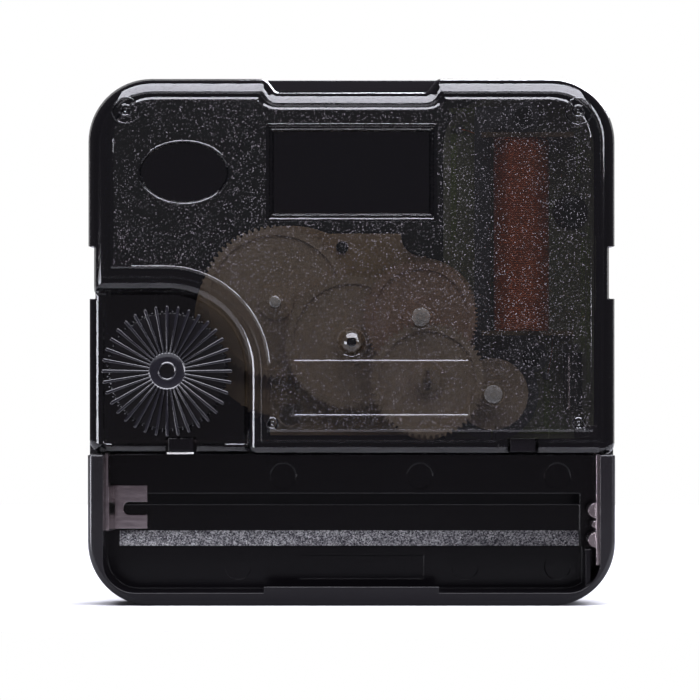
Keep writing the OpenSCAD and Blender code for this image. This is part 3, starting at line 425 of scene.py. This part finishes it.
# ---- Circuit board -----------------------------------------------------------------------------------------
# Glass-fibre laminate with copper tracks under a green lacquer. The chip is bonded under a drop of black
# resin, the crystal's can lies flat, and tin solder joins the contacts and the coil's two wire ends.
BOARD_TOP, TRACK_T = 5.4, 0.05
TRACKS = [  # centre, then width and height
    ((24.9, 5.5), (0.5, 13)), ((25.5, 4), (0.4, 17)), ((24.4, 20.5), (0.5, 7)), ((17, 24.9), (13, 0.6)),
    ((11, 17), (0.6, 12)), ((11.5, 22.9), (1.6, 0.8)), ((11.2, -6.4), (0.7, 5)), ((17, -9.6), (12, 0.6)),
    ((22, 13.4), (2.6, 0.35)), ((22, 14.6), (2.6, 0.35)), ((21, -6.6), (0.6, 6)),
]
SOLDERED = [  # place, height and radius
    (25.1, -9.65, 5.7, 0.5), (11.2, -9.3, 5.4, 0.6), (23.4, -0.5, 5.4, 0.3), (24.2, -0.5, 5.4, 0.3),
    (11.6, 22.9, 5.4, 0.5), (21, -3.6, 5.4, 0.45), (24.9, 11.6, 5.4, 0.3), (24.4, 16.6, 5.4, 0.3),
]
LEADS = [  # the coil's wire ends
    [(14.6, 21.6, 6.2), (13.6, 22.4, 5.95), (12.6, 22.8, 5.75), (11.7, 22.9, 5.6)],
    [(21.6, 1.4, 6.0), (21.7, -0.6, 5.75), (21.4, -2.4, 5.6), (21.05, -3.5, 5.6)],
]
LEAD_R = 0.06


def loop_of(corners, inset, height):
    """Closed loop inside an outline of rounded corners. Each side has its own inset and height."""
    sides = []
    for (x, y, _, _), (x2, y2, _, _), gap in zip(corners, corners[1:] + corners[:1], inset):
        along = Vector((x2 - x, y2 - y)).normalized()
        inward = Vector((-along.y, along.x))
        sides.append((Vector((x, y)) + inward * gap, along, inward))
    points = []
    for i, (_, _, radius, steps) in enumerate(corners):
        (p, along, inward), (q, onward, _) = sides[i - 1], sides[i]
        turn = along.cross(onward)
        angle = math.atan2(turn, along.dot(onward))
        corner = p + along * ((q - p).cross(onward) / turn)
        sign = math.copysign(1, turn)
        bend = max(radius - sign * (inset[i - 1] + inset[i]) / 2, 0.05)
        centre = corner - along * bend * math.tan(abs(angle) / 2) + inward * bend * sign
        for k in range(steps + 1):
            arm = Matrix.Rotation(angle * k / steps, 2) @ (inward * -bend * sign)
            z = height[i - 1] + (height[i] - height[i - 1]) * k / steps
            points.append((centre.x + arm.x, centre.y + arm.y, z))
    return points


def even(corners, inset, z):
    """The same, with one inset and one height all round."""
    return loop_of(corners, [inset] * len(corners), [z] * len(corners))


def rectangle(at, size, radius, steps=4):
    """Corners of a rectangle for loop_of."""
    x, y = size[0] / 2, size[1] / 2
    return [(at[0] + i * x, at[1] + j * y, radius, steps) for i, j in ((-1, -1), (1, -1), (1, 1), (-1, 1))]


def stack(bm, rings):
    """A solid through rings of points, shut by a face at both ends."""
    rings = [verts_of(bm, ring) for ring in rings]
    skin_between(bm, rings)
    bm.faces.new(rings[0])
    bm.faces.new(rings[-1])


def prism(name, corners, low, high, materials):
    """A closed block between two heights."""
    bm = bmesh.new()
    stack(bm, [even(corners, 0, z) for z in (low, high)])
    return closed_mesh(name, bm, materials)


def wire_through(name, points, radius, material):
    """A round wire through points."""
    curve = bpy.data.curves.new(name, "CURVE")
    curve.dimensions, curve.bevel_depth, curve.use_fill_caps = "3D", radius / 1000, True
    line = curve.splines.new("NURBS")
    line.points.add(len(points) - 1)
    for knot, point in zip(line.points, points):
        knot.co = (*stand_up(*point), 1)
    line.use_endpoint_u = True
    path = bpy.data.objects.new(name, curve)
    bpy.context.scene.collection.objects.link(path)
    bpy.context.view_layer.update()
    mesh = bpy.data.meshes.new_from_object(path.evaluated_get(bpy.context.evaluated_depsgraph_get()))
    mesh.materials.clear()
    mesh.materials.append(material)
    piece = bpy.data.objects.new(name, mesh)
    bpy.context.scene.collection.objects.link(piece)
    bpy.data.objects.remove(path)
    return piece


# Green lacquer over glass fibre, with the weave just showing
dress("circuit_board", finish_of("lacquered_board", {"Coat Weight": 0.3}, worked(
    "#7f8466", "#98997c", 2500, (1, 1, 3), (0.35, 0.5))))
# The same lacquer over copper, so lighter
track_green = finish_of("lacquered_track", {"Coat Weight": 0.4}, worked(
    "#7b8a52", "#8d9a60", 900, blur=(0.3, 0.4)))
tracks = [prism("track", rectangle(at, size, 0.1, 2), BOARD_TOP - 0.02, BOARD_TOP + TRACK_T, [track_green])
          for at, size in TRACKS]
tracks[0].name = "board_tracks"
join(tracks[0], tracks[1:])
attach(tracks[0], "body")
# Tin solder
solder = finish_of("tin_solder", {"Metallic": 1}, worked("#a9aaac", "#c3c4c5", 1500, blur=(0.25, 0.4)))
drops = bmesh.new()
for x, y, z, radius in SOLDERED:
    stack(drops, [circle((x, y), radius * math.cos(a), z + 0.7 * radius * math.sin(a), 16)
                  for a in (0, 0.3, 0.6, 0.9, 1.2, 1.45)])
drops = closed_mesh("solder_joints", drops, [solder])
smooth(drops, 60)
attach(drops, "body")
leads = [wire_through("coil_leads", points, LEAD_R, wire_copper) for points in LEADS]
join(leads[0], leads[1:])
smooth(leads[0], 60)
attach(leads[0], "body")
# Black epoxy, poured
dress("chip_drop", finish_of("poured_resin", {"Coat Weight": 0.5}, worked(
    "#0c0c0e", "#141416", 600, blur=(0.15, 0.3))))

# ---- Contacts ----------------------------------------------------------------------------------------------
# Stamped and bent spring sheet with nickel plating, 0.3 mm thick. The crystal's can and the clutch spring are
# of nickel plated sheet too.
nickel = finish_of("nickel_plate", {"Metallic": 1}, worked(
    "#857a7d", "#b5acac", 500, (1, 1, 5), (0.13, 0.24), 0.004, 0.12))
for name in ("battery_contact_negative", "battery_contact_positive", "quartz_crystal", "clutch_spring"):
    dress(name, nickel)

# ---- Wheel train -------------------------------------------------------------------------------------------
# Moulded of acetal, each wheel in one piece with its pinion. The fifth wheel is of a pinkish batch.
natural = finish_of("gear_acetal", {}, worked("#c8b091", "#d9c2a5", 400, blur=(0.38, 0.5), depth=0.004))
for name in ("rotor_pinion", "sixth_wheel", "second_wheel", "third_wheel", "centre_wheel", "motion_wheel"):
    dress(name, natural)
dress("fifth_wheel", finish_of("rose_acetal", {}, worked(
    "#c9a58a", "#dbb89d", 400, blur=(0.38, 0.5), depth=0.004)))

# ---- Hand shafts -------------------------------------------------------------------------------------------
# Drawn brass pipes, one in the other, and a polished steel arbor inside, all with fine marks lengthwise.
pipe_brass = finish_of("drawn_brass", {"Metallic": 1}, worked(
    "#cfae68", "#e6cb8b", 1500, (1, 0.1, 1), (0.16, 0.26)))
for name in ("minute_pipe", "hour_wheel"):
    dress(name, pipe_brass)
dress("second_arbor", finish_of("polished_steel", {"Metallic": 1}, worked(
    "#b7b9bc", "#cfd1d4", 1500, (1, 0.1, 1), (0.1, 0.2))))

# ---- Rear cover --------------------------------------------------------------------------------------------
# Smoky transparent polystyrene, 1 mm thick, polished in the mould along its rolled border and spark-eroded on
# the panel inside. It snaps over the case's two hooks, and its bosses and pegs reach down to the works.
SEAM_Z, BORDER_Z, PANEL_Z, ROOF_Z = 10, 15.7, 15.85, 14.85
WELL_X, WELL_TOP, WELL_R, WELL_Z = -11.1, 5.4, 8.5, 11.6
BAY_TOP = -12.05
KNOB_AT = (-19.6, -3.1)
WALL, FILLET = 1.2, 0.5
ROLL_STEPS = 10
# Where tools that cut right through the cover start and end
BELOW_Z, ABOVE_Z = SEAM_Z - 1, 17
# Corners of the outline, counter-clockwise: x, y, radius, steps round it
OUTLINE = [
    (BODY_HALF, BAY_TOP, 1.35, 6), (BODY_HALF, BODY_HALF, 6.7, 16), (9.1, BODY_HALF, 0.9, 6),
    (8.0, 26.58, 0.6, 6), (-8.0, 26.58, 0.6, 6), (-9.1, BODY_HALF, 0.9, 6), (-BODY_HALF, BODY_HALF, 6.7, 16),
    (-BODY_HALF, WELL_TOP, 0.8, 6), (WELL_X, WELL_TOP, WELL_R, 28), (WELL_X, BAY_TOP, 1.0, 6),
]
# For each side that starts at those corners, the radius of the rolled edge, the width of the smooth border
# and how far the wall leans inwards. The two sides of the well's wall lean outwards
ROLL = [2.0, 1.9, 1.8, 1.65, 1.8, 1.9, 2.0, 1.15, 1.15, 1.0]
BORDER = [2.35, 2.05, 1.9, 1.73, 1.9, 2.05, 2.45, 2.45, 2.2, 2.55]
LEAN = [0, 0, 0, 0, 0, 0, 0, -0.2, -0.2, 0]
# The well's floor: its corners, the roll along its free sides, and its thickness
FLOOR_OUTLINE = [(-BODY_HALF, BAY_TOP, 1.6, 8), (-10.25, BAY_TOP, 0.05, 1), (-10.25, 6.25, 9.35, 24),
                 (-BODY_HALF, 6.25, 0.05, 1)]
FLOOR_ROLL = [1.0, 0, 0, 1.4]
FLOOR_T = 1.1
# The cover's finishes, as places in cover_materials
POLISHED, ERODED, FROSTED, PAINTED_HIGHLIGHT = range(4)
BEARINGS = {"centre": (0, 0), "fifth": (7.37, 2.67), "sixth": (8.12, -4.06), "rotor": (15.06, -5.56),
            "third": (-8.12, 4.27)}
# Domes over the bearings, most of them frosted in a polished groove: radius, height over the panel, and the
# finish between that radius and the one before
WIDE_DOME = [
    (1.68, 0, None), (1.6, 0.025, POLISHED), (1.57, 0.025, POLISHED), (1.49, 0, POLISHED), (1.12, 0, ERODED),
    (1.08, -0.08, POLISHED), (1.0, -0.08, POLISHED), (0.95, 0.03, FROSTED), (0.8, 0.07, FROSTED),
    (0.5, 0.1, FROSTED), (0.2, 0.11, FROSTED)]
SMALL_DOME = [
    (0.72, 0, None), (0.66, -0.06, POLISHED), (0.6, 0.03, FROSTED), (0.45, 0.08, FROSTED),
    (0.2, 0.1, FROSTED)]
BALL_R, BALL_TOP, BALL_EDGE = 1.6, 0.15, 1.02
BALL_DOME = [(1.55, 0, None), (1.5, -0.04, POLISHED), (1.45, -0.62, POLISHED)] + [
    (BALL_R * math.sin(BALL_EDGE * k / 10), BALL_TOP - BALL_R * (1 - math.cos(BALL_EDGE * k / 10)), POLISHED)
    for k in range(10, 0, -1)]
DOMES = {"centre": BALL_DOME, "fifth": WIDE_DOME, "rotor": WIDE_DOME, "third": SMALL_DOME}
# Pegs inside: place, radius and lowest point
PEGS = [((7.53, 11.43), 1.9, 7.1), ((-6.57, -7.69), 1.28, 7.1), ((19.34, 0.9), 1.07, 11.9),
        ((18.43, 24.15), 1.28, 9.9)]
# The hooks' windows with a guard round each, and the notches at the sides
HOOK_X, GUARD, WINDOW, NOTCH = 18.2, (5.7, 2.5), (3.3, 1.6), (1.3, 5.6)
# Ejector marks, fine ridges round a pin's face: radius, width and height of each ridge
LARGE_MARK = ((1.4, 0.16, 0.06), (0.56, 0.3, 0.11), (0.2, 0.2, 0.07))
SMALL_MARK = ((0.56, 0.26, 0.1), (0.2, 0.2, 0.07))


def rolled(corners, radii, top, wall=0, steps=ROLL_STEPS):
    """Loops that round an outline's upper edge over, each side by its own radius."""
    turns = [math.pi / 2 * step / steps for step in range(steps + 1)]
    return [loop_of(corners, [wall + r * (1 - math.cos(a)) for r in radii],
                    [top - r * (1 - math.sin(a)) for r in radii]) for a in turns]


def relief(bm, rings, finishes=None):
    """A raised or sunk shape: walls between rings of points, and a face on the last. finishes has one for
    each wall, and the face takes the last one. Returns the first ring's vertices."""
    rings = [verts_of(bm, ring) for ring in rings]
    finishes = finishes or [POLISHED] * (len(rings) - 1)
    for i, finish in enumerate(finishes):
        skin_between(bm, rings[i:i + 2], finish)
    bm.faces.new(rings[-1]).material_index = finishes[-1]
    return rings[0]


def fill_flat(bm, loops, material=POLISHED):
    """Fills a flat region between its outer loop and the loops of what stands in it."""
    edges = []
    for loop in loops:
        for pair in zip(loop, loop[1:] + loop[:1]):
            edges.append(bm.edges.get(pair) or bm.edges.new(pair))
    filled = bmesh.ops.triangle_fill(bm, use_beauty=True, use_dissolve=False, edges=edges)
    for item in filled["geom"]:
        if isinstance(item, bmesh.types.BMFace):
            item.material_index = material


def cut_or_join(piece, tools):
    """Applies booleans to piece: tools are (operation, object) in order. The tools go."""
    for i, (operation, tool) in enumerate(tools):
        change = piece.modifiers.new(f"step_{i}", "BOOLEAN")
        change.operation = operation
        change.object = tool
        change.solver = "EXACT"
    settle(piece)
    for _, tool in tools:
        drop(tool)


def painted_glint_speckle(tree, skin):
    place = add(tree, "ShaderNodeTexCoord").outputs["Object"]
    # Spark-eroded pits of 0.08 mm, with painted glints: one in ten is painted pale grey as a highlight, more
    # of them in some patches
    pits = add(tree, "ShaderNodeTexVoronoi", {"Scale": 12000}, {"Vector": place})
    patches = add(tree, "ShaderNodeTexNoise", {"Scale": 130, "Detail": 4}, {"Vector": place})
    lone = add(tree, "ShaderNodeSeparateColor", links={"Color": pits.outputs["Color"]})
    share = add(tree, "ShaderNodeMapRange", {
        "From Min": 0.35, "From Max": 0.65, "To Min": 0.955, "To Max": 0.865},
        {"Value": patches.outputs["Fac"]})
    lit = add(tree, "ShaderNodeMapRange", {"From Max": 1, "To Min": 0, "To Max": 1},
              {"Value": lone.outputs["Red"], "From Min": share.outputs["Result"]})
    core = add(tree, "ShaderNodeMapRange", {"From Min": 0.52, "From Max": 0.3, "To Min": 0, "To Max": 1},
               {"Value": pits.outputs["Distance"]})
    spark = add(tree, "ShaderNodeMath", {"operation": "MULTIPLY"},
                {0: lit.outputs["Result"], 1: core.outputs["Result"]})
    # Painted glints: pale grey dots on near black
    colour = add(tree, "ShaderNodeMix", {"data_type": "RGBA", 6: linear("#020202"), 7: linear("#a8a3a9")},
                 {0: spark.outputs[0]})
    tree.links.new(colour.outputs[2], skin.inputs["Base Color"])
    bump = add(tree, "ShaderNodeBump", {"Strength": 0.12, "Distance": 0.00002},
               {"Height": pits.outputs["Distance"]})
    tree.links.new(bump.outputs["Normal"], skin.inputs["Normal"])


cover_polished = finish_of("smoky_polystyrene_polished", {
    "Base Color": linear("#020203"), "Roughness": 0.05, "IOR": 1.59, "Alpha": 0.61})
cover_eroded = finish_of("smoky_polystyrene_spark_eroded", {
    "Roughness": 0.25, "IOR": 1.59, "Specular IOR Level": 0.4, "Alpha": 0.64}, painted_glint_speckle)
# The same, scoured to a pale grey
cover_frosted = finish_of("smoky_polystyrene_frosted", {"Specular IOR Level": 0.6, "Alpha": 0.8}, worked(
    "#090908", "#3c3b39", 3200, blur=(0.12, 0.35), depth=0.2, edge=0.02))
# The same, painted near white as a painted highlight, for the light caught along an edge
cover_painted_highlight = finish_of("smoky_polystyrene_painted_highlight", {"Alpha": 0.95}, worked(
    "#d9d7d2", "#fbf9f4", 2500, blur=(0.3, 0.5)))
cover_materials = [cover_polished, cover_eroded, cover_frosted, cover_painted_highlight]

# Outer skin, from the seam up over the rolled edge to a low ridge round the panel
shell = bmesh.new()
count = len(OUTLINE)
outer = [loop_of(OUTLINE, [share * v for v in LEAN], [z] * count) for share, z in (
    (1, SEAM_Z), (1.8, WELL_Z - 0.05), (1.1, WELL_Z + 0.05), (0.9, WELL_Z + 0.2))]
outer += rolled(OUTLINE, ROLL, BORDER_Z)
outer += [loop_of(OUTLINE, [b + inset for b in BORDER], [z] * count) for inset, z in (
    (-0.04, BORDER_Z), (0.17, PANEL_Z + 0.04), (0.2, PANEL_Z + 0.04), (0.28, PANEL_Z))]
outer = [verts_of(shell, points) for points in outer]
skin_between(shell, outer)
holes = [outer[-1]]
# Bare name panel, sunk in two steps
name_panel = rectangle((0, 18), (18.2, 10.4), 0.25)
holes.append(relief(shell, [even(name_panel, inset, z) for inset, z in (
    (0, PANEL_Z), (0.05, PANEL_Z + 0.03), (0.25, PANEL_Z + 0.03), (0.35, PANEL_Z - 0.03), (0.42, 15.7),
    (0.52, 15.7), (0.62, 15.77), (0.66, 15.77), (0.7, 15.74), (0.85, 15.5))]))
# Bare oval, sunk
holes.append(relief(shell, [oval((-17.8, 18), (4.9 - inset, 3.45 - inset), z) for inset, z in (
    (0, PANEL_Z), (0.08, PANEL_Z + 0.05), (0.12, PANEL_Z + 0.05), (0.2, PANEL_Z), (0.34, 15.6))]))
# Thin raised frame
thin_frame = rectangle((3.15, -4.9), (18.8, 6.0), 0.2)
rings = [verts_of(shell, even(thin_frame, inset, z)) for inset, z in (
    (0, PANEL_Z), (0.1, PANEL_Z + 0.08), (0.13, PANEL_Z + 0.08), (0.23, PANEL_Z))]
skin_between(shell, rings)
fill_flat(shell, [rings[-1]], ERODED)
holes.append(rings[0])
for bearing, dome in DOMES.items():
    holes.append(relief(shell, [circle(BEARINGS[bearing], r, PANEL_Z + h, 40) for r, h, _ in dome],
                        [finish for _, _, finish in dome[1:]]))
fill_flat(shell, holes, ERODED)

# Inner skin
inner = [even(OUTLINE, WALL, SEAM_Z)] + rolled(OUTLINE, [FILLET] * count, ROOF_Z, WALL, 4)
inner = [verts_of(shell, points) for points in inner]
skin_between(shell, inner[::-1])
skin_between(shell, [inner[0], outer[0]])
holes = [inner[-1]]
for at, radius, low in PEGS:
    holes.append(relief(shell, [circle(at, r, z) for r, z in (
        (radius + 0.25, ROOF_Z), (radius + 0.07, ROOF_Z - 0.07), (radius, ROOF_Z - 0.25),
        (radius, low + 0.15), (radius - 0.15, low))]))
# Bosses with the pivots' holes. The sixth wheel's is narrow, so that its slotted hub shows
for bearing, at in BEARINGS.items():
    boss_r = 0.65 if bearing == "sixth" else 1.2
    holes.append(relief(shell, [circle(at, r, z) for r, z in (
        (boss_r + 0.15, ROOF_Z), (boss_r, ROOF_Z - 0.15), (boss_r, 13.3), (boss_r - 0.1, 13.2), (0.42, 13.2),
        (0.35, 13.27), (0.35, 14.3))]))
fill_flat(shell, holes)
cover = closed_mesh("rear_cover_clear", shell, cover_materials)

# The well's floor, hollow underneath
slab = bmesh.new()
stack(slab, [even(FLOOR_OUTLINE, 0, SEAM_Z)] + rolled(FLOOR_OUTLINE, FLOOR_ROLL, WELL_Z) + [
    loop_of(FLOOR_OUTLINE, [r + more for r in FLOOR_ROLL], [z] * 4)
    for more, z in ((0.1, WELL_Z), (0.16, WELL_Z - 0.03), (0.2, WELL_Z - 0.05))])
well_floor = closed_mesh("well_floor", slab, cover_materials)
under = prism("under_floor", [(-BODY_HALF + WALL, BAY_TOP + WALL, 0.4, 4), (-9.5, BAY_TOP + WALL, 0.05, 1),
                              (-9.5, WELL_TOP + 2, 0.05, 1), (-BODY_HALF + WALL, WELL_TOP + 2, 0.05, 1)],
              BELOW_Z, WELL_Z - FLOOR_T, cover_materials)
cut_or_join(well_floor, [("DIFFERENCE", under)])
# A thin near-white rod along the edge under the left window, a painted highlight of that edge
burr = bmesh.new()
lathe(burr, (0, 0), [(0.02, -1.45), (0.13, -1.4), (0.13, 1.4), (0.02, 1.45)], 12)
for face in burr.faces:
    face.material_index = PAINTED_HIGHLIGHT
burr = closed_mesh("burr", burr, cover_materials)
burr.data.transform(
    Matrix.Translation(stand_up(-18.3, -11.85, 11.3)) @ Matrix.Rotation(math.pi / 2, 4, "Z"))
tools = [("UNION", well_floor), ("UNION", burr)]
for side in (-1, 1):
    guard_top = WELL_Z - 0.5 if side < 0 else ROOF_Z + 0.3
    for operation, name, at, size, radius, low, high in (
        ("UNION", "guard", (side * HOOK_X, -10.2), GUARD, 0.2, SEAM_Z, guard_top),
        ("DIFFERENCE", "window", (side * HOOK_X, -10.95), WINDOW, 0.15, BELOW_Z, ABOVE_Z),
        ("DIFFERENCE", "side_notch", (side * BODY_HALF, 7.4), NOTCH, 0.12, BELOW_Z, ABOVE_Z),
    ):
        tools.append((operation, prism(name, rectangle(at, size, radius), low, high, cover_materials)))
tools.append(("DIFFERENCE", prism(
    "shaft_hole", rectangle(KNOB_AT, (2.5, 2.5), 1.24, 12), BELOW_Z, WELL_Z + 1, cover_materials)))
cut_or_join(cover, tools)
marks = bmesh.new()
for at, mark in (((-24, 24.6), LARGE_MARK), ((24.1, 24.5), LARGE_MARK), ((-8.4, -8.65), SMALL_MARK),
                 ((24.1, -8.65), SMALL_MARK)):
    for radius, width, height in mark:
        lathe(marks, at, [(radius + width / 2 * x, PANEL_Z + h) for x, h in (
            (1, -0.2), (1, 0), (0.15, height), (-0.15, height), (-1, 0), (-1, -0.2))], 40)
join(cover, [closed_mesh("ejector_marks", marks, cover_materials)])
smooth(cover, 25)
stands_for(cover, "rear_cover", "body")

# ---- Setting knob ------------------------------------------------------------------------------------------
# Blue-black polystyrene, moulded with thin ribs that run out past its disc, and a bead between each two at
# the rim. It is pressed on the setting shaft, of the same plastic, whose hollow end shows as a light ring in
# the knob's hole.
KNOB_Z, DISC_TOP, RIB_TOP, HUB_TOP = 12, 13.3, 15.4, 15.32
DISC_R, HUB_R, RIB_R, BEAD_R = 6.3, 2.0, 6.95, 0.2
SHAFT_R, HOLE_R, HOLE_Z = 0.9, 0.75, 14.2
RIBS = 36
# Gloss of a polished mould, with fine moulding marks
knob_black = finish_of("blue_black_polystyrene", {"IOR": 1.59}, worked(
    "#050508", "#0b0a10", 1200, blur=(0.12, 0.2), depth=0.002))
dress("setting_gear", knob_black)
rib = bmesh.new()
plan = [(HUB_R - 0.1, -0.1, 0.02, 1), (RIB_R, -0.18, 0.17, 6), (RIB_R, 0.18, 0.17, 6),
        (HUB_R - 0.1, 0.1, 0.02, 1)]
stack(rib, [even(plan, 0, KNOB_Z)] + [
    even(plan, 0.06 * (1 - math.cos(a)), RIB_TOP - 0.09 * (1 - math.sin(a)))
    for a in (math.pi / 6 * k for k in range(4))])
rib = closed_mesh("rib", rib, [knob_black])
bead = bmesh.new()
stack(bead, [circle((DISC_R, 0), BEAD_R, KNOB_Z, 12)] + [
    circle((DISC_R, 0), BEAD_R * math.cos(a), DISC_TOP - 0.1 + 0.2 * math.sin(a), 12)
    for a in (0, 0.4, 0.8, 1.2, 1.5)])
bead = closed_mesh("bead", bead, [knob_black])


def rim(tree, size):
    """Ribs round the axis and a bead between each two."""
    shapes = add(tree, "GeometryNodeJoinGeometry")
    spots = add(tree, "GeometryNodeMeshLine", {"mode": "OFFSET", "Offset": (0, 0, 0)},
                {"Count": size["Count"]})
    number = add(tree, "GeometryNodeInputIndex")
    step = add(tree, "ShaderNodeMath", {"operation": "DIVIDE", 0: 2 * math.pi}, {1: size["Count"]})
    for shape, shift in ((size["Rib"], 0), (size["Bead"], 0.5)):
        place = add(tree, "ShaderNodeMath", {"operation": "ADD", 1: shift}, {0: number.outputs[0]})
        turn = add(tree, "ShaderNodeMath", {"operation": "MULTIPLY"},
                   {0: place.outputs[0], 1: step.outputs[0]})
        angles = add(tree, "ShaderNodeCombineXYZ", links={"Y": turn.outputs[0]})
        model = add(tree, "GeometryNodeObjectInfo", links={"Object": shape})
        copies = add(tree, "GeometryNodeInstanceOnPoints", links={
            "Points": spots.outputs[0], "Instance": model.outputs["Geometry"], "Rotation": angles.outputs[0]})
        tree.links.new(copies.outputs[0], shapes.inputs[0])
    return add(tree, "GeometryNodeRealizeInstances", links={0: shapes.outputs[0]}).outputs[0]


knob_rim = grown("knob_rim", {"Count": RIBS, "Rib": rib, "Bead": bead, "Material": knob_black}, rim)
knob = bmesh.new()
lathe(knob, (0, 0), [
    (SHAFT_R, KNOB_Z), (DISC_R, KNOB_Z), (DISC_R, DISC_TOP - 0.12), (DISC_R - 0.12, DISC_TOP),
    (HUB_R, DISC_TOP), (HUB_R, HUB_TOP - 0.1), (HUB_R - 0.04, HUB_TOP + 0.02), (HUB_R - 0.1, HUB_TOP + 0.05),
    (HUB_R - 0.18, HUB_TOP), (0.98, HUB_TOP), (0.95, HUB_TOP + 0.04), (0.88, HUB_TOP + 0.07),
    (0.8, HUB_TOP + 0.04), (HOLE_R, HUB_TOP - 0.06), (HOLE_R, HOLE_Z), (SHAFT_R, HOLE_Z)])
knob = closed_mesh("setting_knob_ribbed", knob, [knob_black])
join(knob, [knob_rim])
drop(rib)
drop(bead)
knob.data.transform(Matrix.Translation(stand_up(*KNOB_AT, 0)))
smooth(knob, 40)
stands_for(knob, "setting_knob", "setting")
